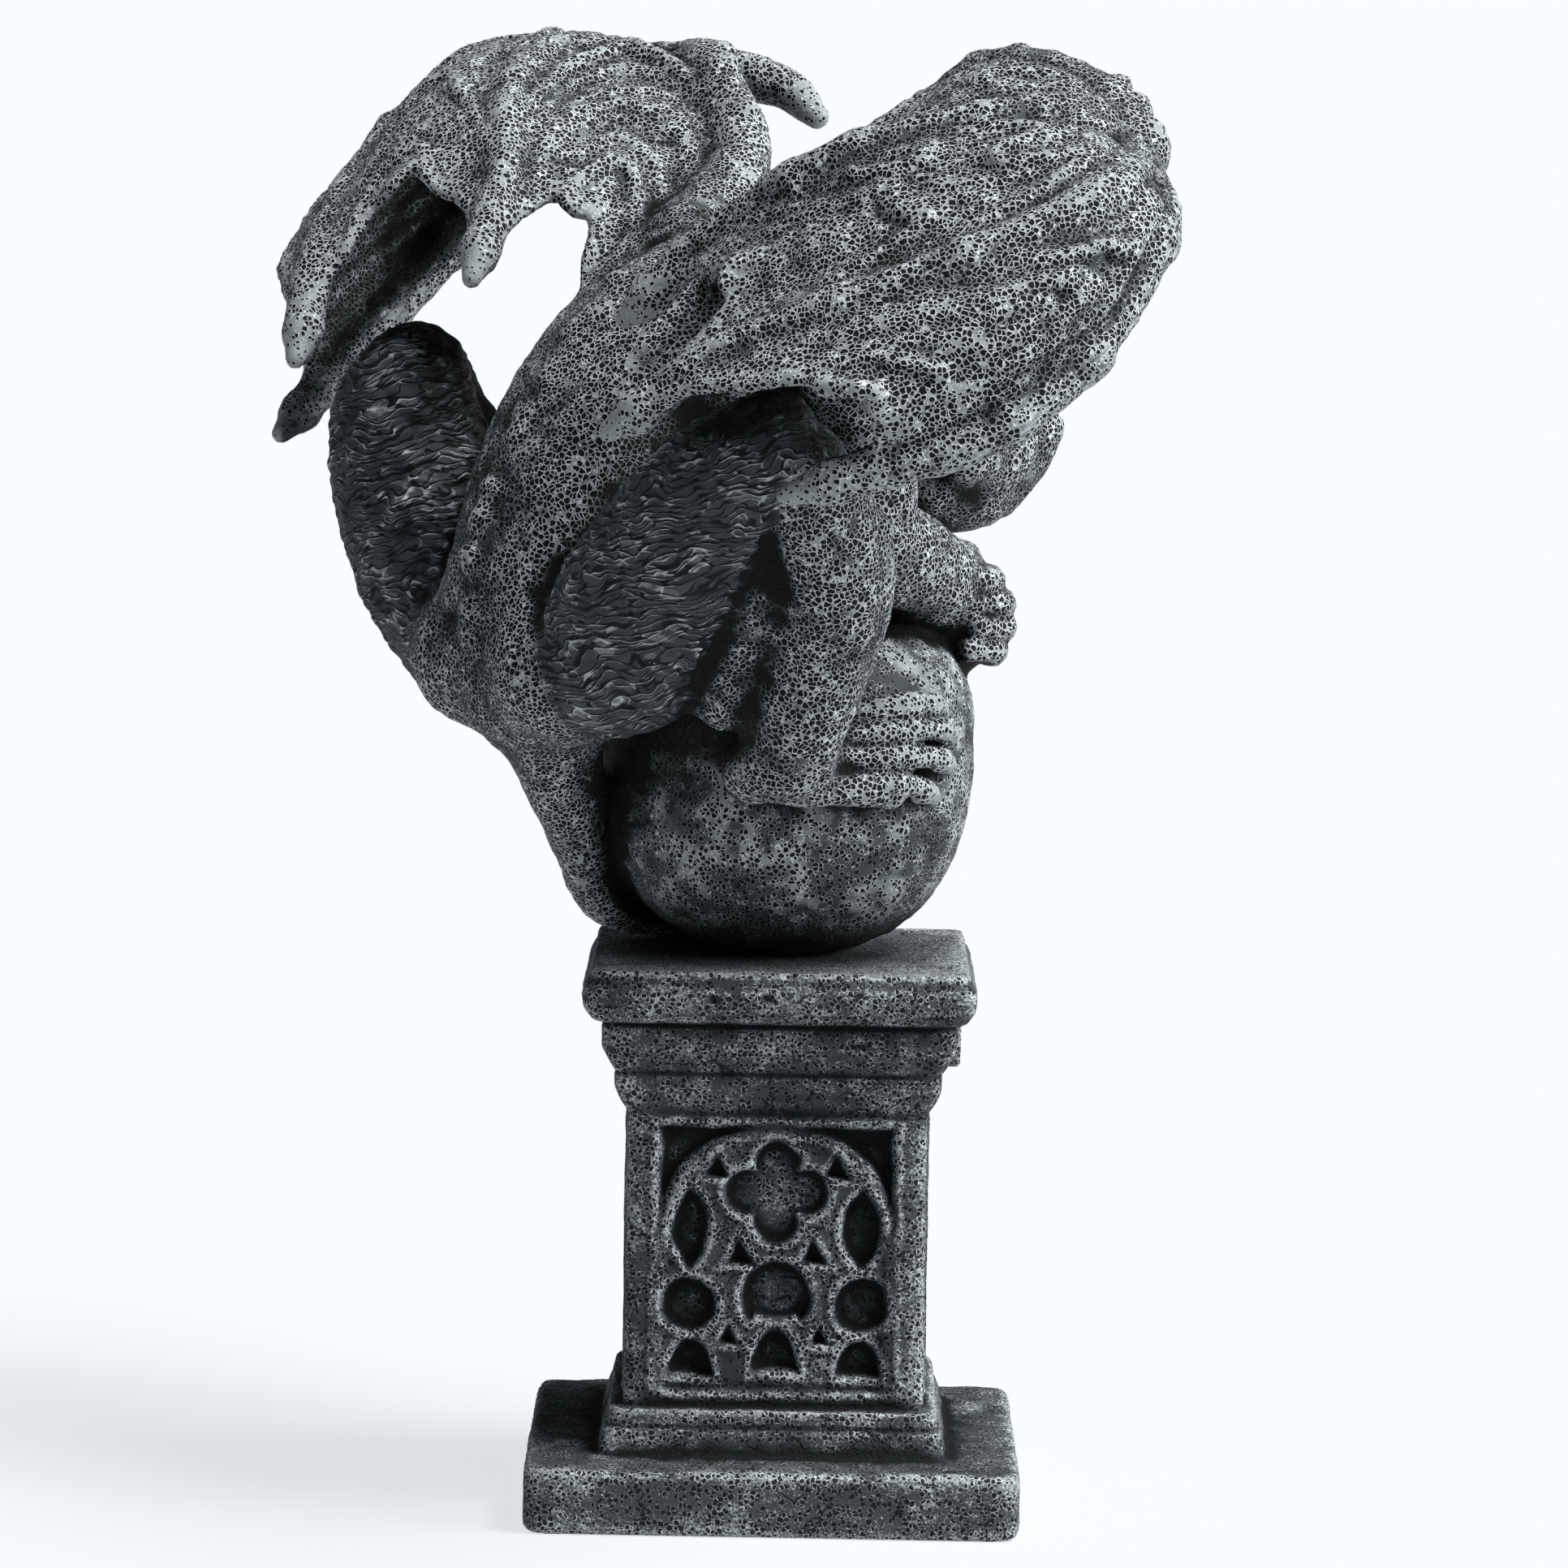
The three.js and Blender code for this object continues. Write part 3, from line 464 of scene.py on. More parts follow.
        def place(P):
            q = np.array(P, float)
            q[..., 1] *= side
            q[..., :3] = tilt(q[..., :3])
            return q
        q = np.linspace(0, 0.8, 26)
        g.limb(np.c_[place(cat_at(arm, q)), np.interp(q, [0, 0.2, 0.4, 0.6, 0.8], [5.2, 4.5, 4.6, 5.8, 8])], 4.0, wing)
        g.egg(place(A([[18.5, 79, 265]], float))[0], A([5.0, 5.0, 5.0]) if side > 0 else A([4.2, 4.4, 5.6]), (0, 0, 0), 5, wing)
        for wi, (a, b, ea, eb, scal, pw, lean, bulge, full, hold, lip, folds, high) in enumerate(WEBS[side]):
            n0, n1 = int(104 / (FIG_H * 0.78)), int(62 / (FIG_H * 0.78))
            t = np.linspace(0, 1, n1)[None, :] * np.ones((n0, 1))
            u = np.linspace(0, 1, n0)[:, None] * np.ones((1, n1))
            end = ea + (eb - ea) * t - scal * np.sin(np.pi * t ** lean) ** pw
            end = end + 0.012 * np.sin(t * 23 + wi) * np.sin(np.pi * t)
            s = 0.02 + (end - 0.02) * u
            P = cat_at(curves[a], s) * (1 - t[..., None]) + cat_at(curves[b], s) * t[..., None]
            N = np.cross(np.gradient(P, axis=0), np.gradient(P, axis=1))
            N = N / np.maximum(np.linalg.norm(N, axis=-1, keepdims=True), 1e-9)
            N = N * np.sign(((P - A([-25, 50, 225.0])) * N).sum(-1).mean())
            bow = np.sin(np.pi * t)
            closing = np.sin(np.pi * np.clip(u, 0, 1) * 0.98) ** 0.7
            belly = bulge * np.maximum(bow, 0) ** full * (closing + (sstep(u, 0.05, 0.75) - closing) * hold)
            peak = 0.5 ** (1 / lean) + (0.12 if lean == 1.3 else 0)
            flare = lip * (0.35 * bow ** 1.5 + 0.65 * np.exp(-((t - peak) / 0.14) ** 2)) * np.exp(-(1 - u) / 0.06)
            # nested folds that open towards the free edge
            wob = vnoise(np.c_[(u * 5).ravel(), (t * 4).ravel(), np.full(u.size, 7.0 * wi + 31 * (side < 0))], 5).reshape(u.shape) - 0.5
            ph = folds * (u - 0.42 * (2 * t - 1) ** 2 + 0.45 * wob) * 2
            ridge = 1 - np.abs(np.sin(np.pi * ph))
            ridge2 = 1 - np.abs(np.sin(np.pi * ph * 2.3 + 3 * wob))
            amp = np.clip(bow * 1.5, 0, 1) * sstep(u, 0.04, 0.2) * (1.0 - 0.5 * sstep(u, 0.6, 0.97))
            relief = 1.45 * amp * (high * (1.35 - 0.5 * sstep(u, 0.3, 0.7)) * (ridge ** 2.2 - 0.25) + 0.6 * (ridge2 ** 2 - 0.25))
            if b == "low":                                  # long sinews beside the lowest finger
                for at in (0.80, 0.90):
                    relief = relief + 1.3 * np.exp(-((t - at - 0.03 * np.sin(5 * u)) / 0.028) ** 2) * sstep(u, 0.25, 0.5)
            P = P + N * (belly + flare + relief)[..., None]
            thick = 1.7 - 0.55 * np.exp(-(1 - u) / 0.05)
            g.skin(place(P.reshape(-1, 3)), thick.reshape(-1), 2.0, {"wing": 1.0, "web": 1.0})
            if side < 0 and b == "low":
                j = np.linspace(0.50, 0.76, 12)
                rows = (j * (n1 - 1)).astype(int)
                c = P[-1, rows] + N[-1, rows] * (1.9 * np.sin(np.pi * (j - 0.46) / 0.34) ** 0.8)[:, None]
                g.limb(np.c_[place(c), 1.35 + 0.3 * np.sin(np.pi * (j - 0.5) / 0.26)], 1.4, wing)
        for ci, name in enumerate(("low", "mid", "high")):
            q = np.linspace(0, 0.95, 44)
            r = np.interp(q, [0, 0.2, 0.5, 0.75, 0.95], {"low": [4.4, 4.2, 4.4, 4.4, 3.9], "mid": [4.4, 3.4, 3.1, 3.3, 3.6], "high": [4.2, 2.8, 2.4, 2.5, 3.2]}[name])
            for at, grow in ((0.26 + 0.03 * ci, 0.8), (0.49, 1.1), (0.68 - 0.04 * ci, 0.9)):
                r = r + grow * np.exp(-((q - at) / 0.022) ** 2)
            c = cat_at(curves[name], q)
            out = c - A([-25, 50, 225.0])
            out = out / np.linalg.norm(out, axis=1, keepdims=True)
            g.limb(np.c_[place(c + out * (1.5 * sstep(q, 0.05, 0.2) * (1 - sstep(q, 0.75, 0.95)))[:, None]), r], {"low": 1.6, "mid": 2.4, "high": 3.6}[name], {"wing": 1.0, "band": 0.8 if name == "low" else 0.3})
            q = np.linspace(0.905, 0.945, 6)
            g.limb(np.c_[place(cat_at(curves[name], q)), 3.3 + 0.75 * np.exp(-((q - 0.935) / 0.012) ** 2)], 1.2, wing)
            q = np.linspace(0.925, 1.0, 8)
            g.limb(np.c_[place(cat_at(curves[name], q)), np.interp(q, [0.925, 0.96, 1.0], [3.0, 3.1, 1.9])], 0.3, {"claw": 1.0})
        for i in range(15):
            c = cat_at(arm, A([0.02 + 0.036 * i]))[0]
            out = c - A([-25, 50, 225.0])
            out = out / np.linalg.norm(out) + 0.8 * A([math.sin(7.1 * i), math.sin(4.3 * i + 1), math.sin(5.7 * i + 2)])
            g.egg(place((c + 4.4 * out / np.linalg.norm(out))[None])[0], A([1.9, 1.9, 1.9]) * (1 + 0.35 * math.sin(3.3 * i)), (0, 0, 0), 1.6, wing)
        th = cat_at(A([[20, 82, 265.5, 5.0], [30, 72, 267, 5.0], [38, 60.5, 264.5, 4.3], [41, 53.5, 259.5, 2.2]] if side > 0 else
                      [[17, 77, 264, 4.0], [26, 69, 266, 4.6], [35, 58.5, 263.5, 4.1], [38, 51.5, 258.5, 2.2]], float), np.linspace(0, 1, 24))
        g.limb(np.c_[place(th[:, :3]), th[:, 3]], 2.0, wing)
        g.limb(np.c_[place(th[-6:, :3]), th[-6:, 3] + 0.2], 0.4, {"claw": 1.0})
    # flat underside on the plinth
    sl, ax = g.window(g.lo, A([999, 999, SEAT + 4]))
    g.F[sl] = np.maximum(g.F[sl], (SEAT + 0.05 - ax[2])[None, None, :])
    return g


def fur_height(P):
    """lens shaped tufts lying level round the thighs; P in the plinth's frame, mm"""
    w = vnoise(P / 9.0, 3) - 0.5
    w2 = vnoise(P / 3.5, 4) - 0.5
    q = np.stack([P[:, 0] / 6.5 + 0.2 * w2, P[:, 1] / 6.5, (P[:, 2] + 6.0 * w + 0.16 * P[:, 0] + 0.8 * w2) / 2.2], 1)
    f1, f2 = cells(q, 11)
    return sstep(f2 - f1, 0.02, 0.5)


# ------------------------------------------------------------------ the plinth's field
PROFILE = [[0, 45.6], [1.0, 46.6], [11.4, 46.6], [12.3, 45.7], [12.7, 33.2], [17.5, 31.8], [17.9, 30.9], [18.3, 31.4], [21.0, 30.9], [21.4, 28.4],
           [77.6, 28.4], [79.4, 29.7], [82.2, 30.8], [84.6, 30.9], [85.1, 30.3], [85.7, 31.1], [88.0, 32.4], [90.2, 33.4], [94.4, 33.5], [94.9, 32.9],
           [95.6, 35.3], [98.0, 36.9], [100.7, 37.2], [102.5, 36.4], [102.9, 35.5], [103.5, 35.9], [SEAT, 35.5]]


def poly_distance(px, pz, poly):
    """signed distance to a closed polygon, negative inside"""
    d = np.full(px.shape, 1e9)
    inside = np.zeros(px.shape, bool)
    for (x0, z0), (x1, z1) in zip(poly, poly[1:] + poly[:1]):
        ex, ez = x1 - x0, z1 - z0
        t = np.clip(((px - x0) * ex + (pz - z0) * ez) / max(ex * ex + ez * ez, 1e-9), 0, 1)
        d = np.minimum(d, np.hypot(px - x0 - t * ex, pz - z0 - t * ez))
        c = ((z0 <= pz) & (pz < z1)) | ((z1 <= pz) & (pz < z0))
        with np.errstate(divide="ignore", invalid="ignore"):
            inside ^= c & (px < x0 + (pz - z0) * ex / (ez if ez else 1e-9))
    return np.where(inside, -d, d)


def tracery(a, z):
    """distance to the openings of the blind tracery, negative inside, and to the arch panel"""
    x = np.abs(a)
    circ = lambda cx, cz, r: np.hypot(x - cx, z - cz) - r
    foil = np.minimum.reduce([circ(5.3, 62.4, 4.6), circ(0, 67.7, 4.6), circ(0, 57.1, 4.6), circ(0, 62.4, 4.2)])
    R = (3.5 ** 2 + 7.9 ** 2) / 7.0                                     # almond: two arcs
    alm = np.maximum(np.hypot(x - (16.2 + R - 3.5), z - 55.4), np.hypot(x - (16.2 - R + 3.5), z - 55.4)) - R
    mid = circ(0, 42.4, 6.8)
    mid = np.maximum(mid, 38.0 + 0.10 * x ** 1.5 * (x < 4) - z)         # flattened foot
    side = circ(16.2, 40.9, 5.2)

    def lunette(cx, hw, lo, hi):
        return np.maximum(np.hypot((x - cx) * (hi - lo) / hw, z - lo) - (hi - lo), lo - z) * 0.8
    lun = np.minimum(lunette(15.7, 4.3, 27.4, 34.4), lunette(0, 4.6, 28.2, 36.2))
    tri = lambda cx, cz, r: np.maximum.reduce([cz - z, (z - cz) * 0.5 + (x - cx) * 0.87, (z - cz) * 0.5 - (x - cx) * 0.87]) - r
    tris = np.minimum.reduce([tri(11.2, 66.6, 1.5), tri(7.0, 50.4, 1.5), tri(8.6, 34.6, 1.1)])
    arch = np.where(z > 52.2, np.hypot(x, z - 52.2) - 22.0, x - 22.0)
    panel = np.maximum.reduce([x - 22.6, 24.4 - z, z - 75.4])
    spandrel = np.maximum.reduce([panel + 0.6, 1.1 - arch, 53.0 - z])
    opening = np.minimum.reduce([foil, alm, mid, side, lun, tris])
    return opening, spandrel, arch, panel


def plinth_field():
    g = Field([-50, -50, -3], [50, 50, 108], PLINTH_H)
    ax = [(g.lo[k] + g.h * np.arange(g.n[k])).astype(np.float32) for k in range(3)]
    X, Y, Z = np.meshgrid(*ax, indexing="ij", sparse=True)
    ax_, ay_ = np.abs(X), np.abs(Y)
    half = 50 * ((ax_ / 50) ** 26 + (ay_ / 50) ** 26) ** np.float32(1 / 26)
    along = np.where(ax_ > ay_, Y, X) + 0 * Z
    # profile distance on a fine table, then looked up
    st = 0.25
    tx, tz = np.arange(0, 72, st), np.arange(-4, 110, st)
    poly = [(0.0, 0.0)] + [(w, z) for z, w in PROFILE] + [(0.0, SEAT)]
    T = poly_distance(tx[:, None] + 0 * tz[None], tz[None] + 0 * tx[:, None], poly).astype(np.float32)

    def look(T, a, b, a0, b0):
        u = np.clip((a - a0) / st, 0, T.shape[0] - 1.001)
        v = np.clip((b - b0) / st, 0, T.shape[1] - 1.001)
        i, j = u.astype(np.int32), v.astype(np.int32)
        f, e = u - i, v - j
        return T[i, j] * (1 - f) * (1 - e) + T[i + 1, j] * f * (1 - e) + T[i, j + 1] * (1 - f) * e + T[i + 1, j + 1] * f * e
    hb = half + 0 * Z
    zb = Z + 0 * hb
    F = look(T, hb, zb, 0, -4)
    # face relief
    ta, tz2 = np.arange(-30, 30, st), np.arange(20, 80, st)
    TA, TZ = np.meshgrid(ta, tz2, indexing="ij")
    wob = (vnoise(np.c_[TA.ravel() / 4.5, TZ.ravel() / 4.5, np.full(TA.size, 0.5)], 21).reshape(TA.shape) - 0.5)
    wob2 = (vnoise(np.c_[TA.ravel() / 4.5, TZ.ravel() / 4.5, np.full(TA.size, 9.5)], 22).reshape(TA.shape) - 0.5)
    op, sp, arch, panel = tracery(TA + 0.9 * wob, TZ + 0.9 * wob2)
    H = -0.8 * sstep(-panel, -0.1, 0.9)
    H = H - 2.1 * sstep(-op, -0.25, 1.0) - 2.0 * sstep(-sp, -0.2, 1.0)
    H = H + 0.55 * np.exp(-((op - 0.95) / 0.55) ** 2) * sstep(-arch, -0.6, 0.2)
    H = H + 0.75 * np.exp(-((arch + 0.4) / 0.9) ** 2) * (panel < 0)
    H = H + 0.5 * np.exp(-((panel - 0.7) / 0.5) ** 2)
    # a veined boss of foliage at the bottom of the openings
    deep = sstep(-op, 0.6, 2.0)
    H = H + deep * 0.5 * (vnoise(np.c_[TA.ravel() / 1.9, TZ.ravel() / 1.9, np.full(TA.size, 2.5)], 23).reshape(TA.shape))
    H = H.astype(np.float32)
    on = ((zb > 21.6) & (zb < 77.2) & (hb > 22)).astype(np.float32)
    F = F - look(H, along, zb, -30, 20) * on
    g.F = F.astype(np.float32)
    # blank shield boss on the +X face
    sl, bx = g.window(A([28, -9, 81]), A([37, 9, 98]))
    bX, bY, bZ = np.meshgrid(*bx, indexing="ij", sparse=True)
    d2 = (((np.abs(bY) / (6.2 - 0.16 * np.clip(92 - bZ, 0, 12))) ** 3 + (np.abs(bZ - 89.6) / 6.5) ** 3) ** (1 / 3) - 1) * 6
    rim = 0.55 * np.exp(-((d2 + 0.9) / 0.5) ** 2)
    g.put(sl, np.maximum(d2, bX - (34.3 + rim)).astype(np.float32), 0.7)
    # chipped edges
    rng = np.random.default_rng(4)
    for _ in range(150):
        z, w = [(12.0, 46.6), (0.6, 46.6), (100.7, 37.4), (104.9, 35.7), (90.2, 33.6), (100.7, 37.4)][rng.integers(6)]
        s = rng.uniform(-w, w) if rng.random() < 0.75 else w * rng.choice([-1, 1]) * rng.uniform(0.94, 1.0)
        q = rng.integers(4)
        p = [(s, -w), (w, s), (s, w), (-w, s)][q]
        r = rng.uniform(0.4, 1.1)
        g.egg(A([p[0] * 1.012, p[1] * 1.012, z + rng.uniform(-0.8, 1.2)]), A([r * rng.uniform(0.8, 2.4), r * rng.uniform(0.8, 2.4), r]), (0, 0, 0), 0.8, carve=True)
    return g


# ------------------------------------------------------------------ meshes
def mesh_from(name, V, Q, most):
    me = bpy.data.meshes.new(name)
    me.vertices.add(len(V))
    me.vertices.foreach_set("co", (V * MM).astype(np.float32).ravel())
    me.loops.add(len(Q) * 4)
    me.loops.foreach_set("vertex_index", Q.astype(np.int32).ravel())
    me.polygons.add(len(Q))
    me.polygons.foreach_set("loop_start", np.arange(0, 4 * len(Q), 4, dtype=np.int32))
    me.update(calc_edges=True)
    me.validate()
    ob = bpy.data.objects.new(name, me)
    bpy.context.scene.collection.objects.link(ob)
    tris = 2 * len(Q)
    if tris > most:
        mod = ob.modifiers.new("fewer", "DECIMATE")
        mod.ratio = most / tris
        mod.use_collapse_triangulate = True
        dg = bpy.context.evaluated_depsgraph_get()
        final = bpy.data.meshes.new_from_object(ob.evaluated_get(dg))
        ob.modifiers.clear()
        ob.data = final
        bpy.data.meshes.remove(me)
        final.name = name
    ob.data.shade_smooth()
    return ob


def verts(ob):
    co = np.zeros(len(ob.data.vertices) * 3, np.float32)
    ob.data.vertices.foreach_get("co", co)
    return co.reshape(-1, 3).astype(float) / MM


def attribute(ob, name, values):
    at = ob.data.attributes.new(name, "FLOAT", "POINT")
    at.data.foreach_set("value", np.asarray(values, np.float32))


def make_figure():
    g = figure_field()
    V, Q = g.nets()
    N = g.normal(V)
    fur = np.clip(g.sample(g.M["fur"], V), 0, 1)
    web = np.clip(g.sample(g.M["web"], V), 0, 1)
    clw = np.clip(g.sample(g.M["claw"], V), 0, 1)
    P = turn(V)
    fh = fur_height(P)
    rough = 0.75 * (fbm(P / 9.0, 1) - 0.5) + 0.85 * (fbm(P / 3.0, 2, 2) - 0.5)
    d = rough * (1 - 0.7 * clw) + fur * 0.4 * (fh - 0.6)
    keep = sstep(V[:, 2], SEAT + 0.4, SEAT + 2.5)
    V2 = P + turn(N) * (d * keep)[:, None]
    ob = mesh_from("gargoyle_figure", V2, Q, 196000)
    # masks on the final mesh
    P = verts(ob)
    B = turn(P, back=True)
    c1, c4, c10 = hollows(g, (1.7, 4.2, 11.0))
    # painted shade: the wing turned from the light gets a little more darkening, added to the widest creases measure
    turned = sstep(B[:, 1], 15, 45) * sstep(B[:, 2], 208, 222)
    # creases measures, used for the painted shade in hollows and the painted highlight on edges
    for name, G, more in (("cav1", c1, 0), ("cav4", c4, 0), ("cav10", c10, 0.15)):
        attribute(ob, name, (g.sample(G, B) - 0.5) * 2 + more * turned)
    attribute(ob, "shade", sky_shade(g, B))
    fur = np.clip(g.sample(g.M["fur"], B), 0, 1)
    attribute(ob, "fur", fur)
    corner = np.zeros(len(ob.data.loops), np.int32)
    ob.data.loops.foreach_get("vertex_index", corner)
    first = np.zeros(len(ob.data.polygons), np.int32)
    ob.data.polygons.foreach_get("loop_start", first)
    ob.data.polygons.foreach_set("material_index", (np.maximum.reduceat((fur > 0.02)[corner], first)).astype(np.int32))
    clw = np.clip(g.sample(g.M["claw"], B), 0, 1)
    ball = np.clip(g.sample(g.M["ball"], B), 0, 1)
    web = np.clip(g.sample(g.M["web"], B), 0, 1)
    attribute(ob, "claw", clw)
    band = np.clip(g.sample(g.M["band"], B), 0, 1)
    attribute(ob, "band", band)
    attribute(ob, "ball", ball)
    pore = 0.95 - 0.28 * ball + 0.07 * web - 0.22 * band
    attribute(ob, "pore", pore * (1 - 0.95 * fur) * (1 - 0.5 * clw))
    # painted shade and a darker wash towards the ball's foot, where it meets the plinth
    low = sstep(P[:, 2], 124, 107) * ball
    attribute(ob, "low", low)
    return ob


def make_plinth():
    g = plinth_field()
    V, Q = g.nets()
    N = g.normal(V)
    d = 0.45 * (fbm(V / 10.0, 31) - 0.5) + 0.3 * (fbm(V / 3.0, 32, 2) - 0.5)
    keep = sstep(V[:, 2], 0.0, 1.5) * (1 - sstep(V[:, 2], SEAT - 2.0, SEAT - 0.4))
    V2 = V + N * (d * keep)[:, None]
    ob = mesh_from("plinth_block", V2, Q, 190000)
    P = verts(ob)
    c1, c4, c10 = hollows(g, (1.2, 3.4, 9.0))
    for name, G in (("cav1", c1), ("cav4", c4), ("cav10", c10)):
        attribute(ob, name, (g.sample(G, P) - 0.5) * 2)
    # shade under the ball
    r = np.hypot(P[:, 0], P[:, 1])
    attribute(ob, "low", sstep(P[:, 2], SEAT - 2.5, SEAT - 0.5) * sstep(r, 34, 20))
    return ob


# ------------------------------------------------------------------ materials
class Nodes:
    def __init__(self, name):
        self.mat = bpy.data.materials.new(name)
        self.mat.use_nodes = True
        self.t = self.mat.node_tree
        self.t.nodes.clear()
        self.out = self.t.nodes.new("ShaderNodeOutputMaterial")

    def put(self, sock, v):
        if hasattr(v, "is_output"):
            self.t.links.new(v, sock)
        elif v is not None:
            sock.default_value = v

    def math(self, op, a, b=None, c=None, clamp=False):
        n = self.t.nodes.new("ShaderNodeMath")
        n.operation = op
        n.use_clamp = clamp
        for s, v in zip(n.inputs, (a, b, c)):
            self.put(s, v)
        return n.outputs[0]

    def vmath(self, op, a, b=None, scale=None):
        n = self.t.nodes.new("ShaderNodeVectorMath")
        n.operation = op
        self.put(n.inputs[0], a)
        self.put(n.inputs[1], b)
        if scale is not None:
            self.put(n.inputs["Scale"], scale)
        return n.outputs[0]

    def dot(self, a, b):
        n = self.t.nodes.new("ShaderNodeVectorMath")
        n.operation = "DOT_PRODUCT"
        self.put(n.inputs[0], a)
        self.put(n.inputs[1], b)
        return n.outputs["Value"]

    def attr(self, name):
        n = self.t.nodes.new("ShaderNodeAttribute")
        n.attribute_name = name
        return n.outputs["Fac"]

    def step(self, x, a, b, lo=0.0, hi=1.0):
        n = self.t.nodes.new("ShaderNodeMapRange")
        n.interpolation_type = "SMOOTHSTEP"
        self.put(n.inputs["Value"], x)
        self.put(n.inputs["From Min"], a)
        self.put(n.inputs["From Max"], b)
        self.put(n.inputs["To Min"], lo)
        self.put(n.inputs["To Max"], hi)
        return n.outputs["Result"]

    def noise(self, v, scale, detail=2.0, rough=0.5, colour=False):
        n = self.t.nodes.new("ShaderNodeTexNoise")
        self.put(n.inputs["Vector"], v)
        n.inputs["Scale"].default_value = scale
        n.inputs["Detail"].default_value = detail
        n.inputs["Roughness"].default_value = rough
        return n.outputs["Color" if colour else "Fac"]

    def voronoi(self, v, scale, feature="F1"):
        n = self.t.nodes.new("ShaderNodeTexVoronoi")
        n.feature = feature
        self.put(n.inputs["Vector"], v)
        n.inputs["Scale"].default_value = scale
        return n

    def mix(self, f, a, b):
        n = self.t.nodes.new("ShaderNodeMix")
        n.data_type = "RGBA"
        self.put(n.inputs[0], f)
        self.put(n.inputs[6], a)
        self.put(n.inputs[7], b)
        return n.outputs[2]

    def combine(self, x, y, z):
        n = self.t.nodes.new("ShaderNodeCombineXYZ")
        for s, v in zip(n.inputs, (x, y, z)):
            self.put(s, v)
        return n.outputs[0]

    def split(self, v):
        n = self.t.nodes.new("ShaderNodeSeparateXYZ")
        self.put(n.inputs[0], v)
        return n.outputs

    def position(self):
        n = self.t.nodes.new("ShaderNodeTexCoord")
        return self.vmath("SCALE", n.outputs["Object"], scale=1000.0)

    def bump(self, h, distance, strength=1.0, normal=None):
        n = self.t.nodes.new("ShaderNodeBump")
        n.inputs["Strength"].default_value = strength
        n.inputs["Distance"].default_value = distance
        self.put(n.inputs["Height"], h)
        self.put(n.inputs["Normal"], normal)
        return n.outputs[0]

    def finish(self, colour, rough, normal, spec=0.14):
        b = self.t.nodes.new("ShaderNodeBsdfPrincipled")
        self.put(b.inputs["Base Color"], colour)
        self.put(b.inputs["Roughness"], rough)
        self.put(b.inputs["Normal"], normal)
        b.inputs["Specular IOR Level"].default_value = spec
        self.t.links.new(b.outputs[0], self.out.inputs[0])
        return self.mat


# DARK serves the dark wash and the painted shade, PALE the drybrush and the painted highlights
DARK = (0.0019, 0.0025, 0.0029, 1)
MID = (0.036, 0.0440, 0.0480, 1)
PALE = (0.475, 0.525, 0.545, 1)
GRAIN_DIR = (-0.77 * math.cos(HEADING), -0.77 * math.sin(HEADING), -0.63)


def pits(m, P, scale, size, spare, wall):
    """round pores with thin walls between them: how far inside a pore, and the pale rim round it"""
    warp = m.vmath("SUBTRACT", m.noise(P, 0.8, 1, colour=True), (0.5, 0.5, 0.5))
    P2 = m.vmath("ADD", P, m.vmath("SCALE", warp, scale=0.7))
    vo = m.voronoi(P2, scale)
    ed = m.voronoi(P2, scale, "DISTANCE_TO_EDGE")
    rnd, keep, _ = m.split(vo.outputs["Color"])
    r = m.math("MULTIPLY", size, m.math("MULTIPLY_ADD", rnd, 0.34, 0.58))
    r = m.math("MULTIPLY", r, m.step(m.math("SUBTRACT", keep, spare), -0.02, 0.02))
    wall = m.math("MULTIPLY_ADD", m.noise(P, 0.6, 0), 0.13, wall - 0.065)
    e = m.math("SMOOTH_MAX", m.math("SUBTRACT", vo.outputs["Distance"], r), m.math("SUBTRACT", wall, ed.outputs["Distance"]), 0.09)
    hole = m.step(e, 0.03, -0.03)
    rim = m.math("MULTIPLY", m.step(e, 0.0, 0.03), m.step(e, 0.14, 0.04))
    rim = m.math("MULTIPLY", rim, m.step(r, 0.2, 0.4))
    return hole, rim, P2


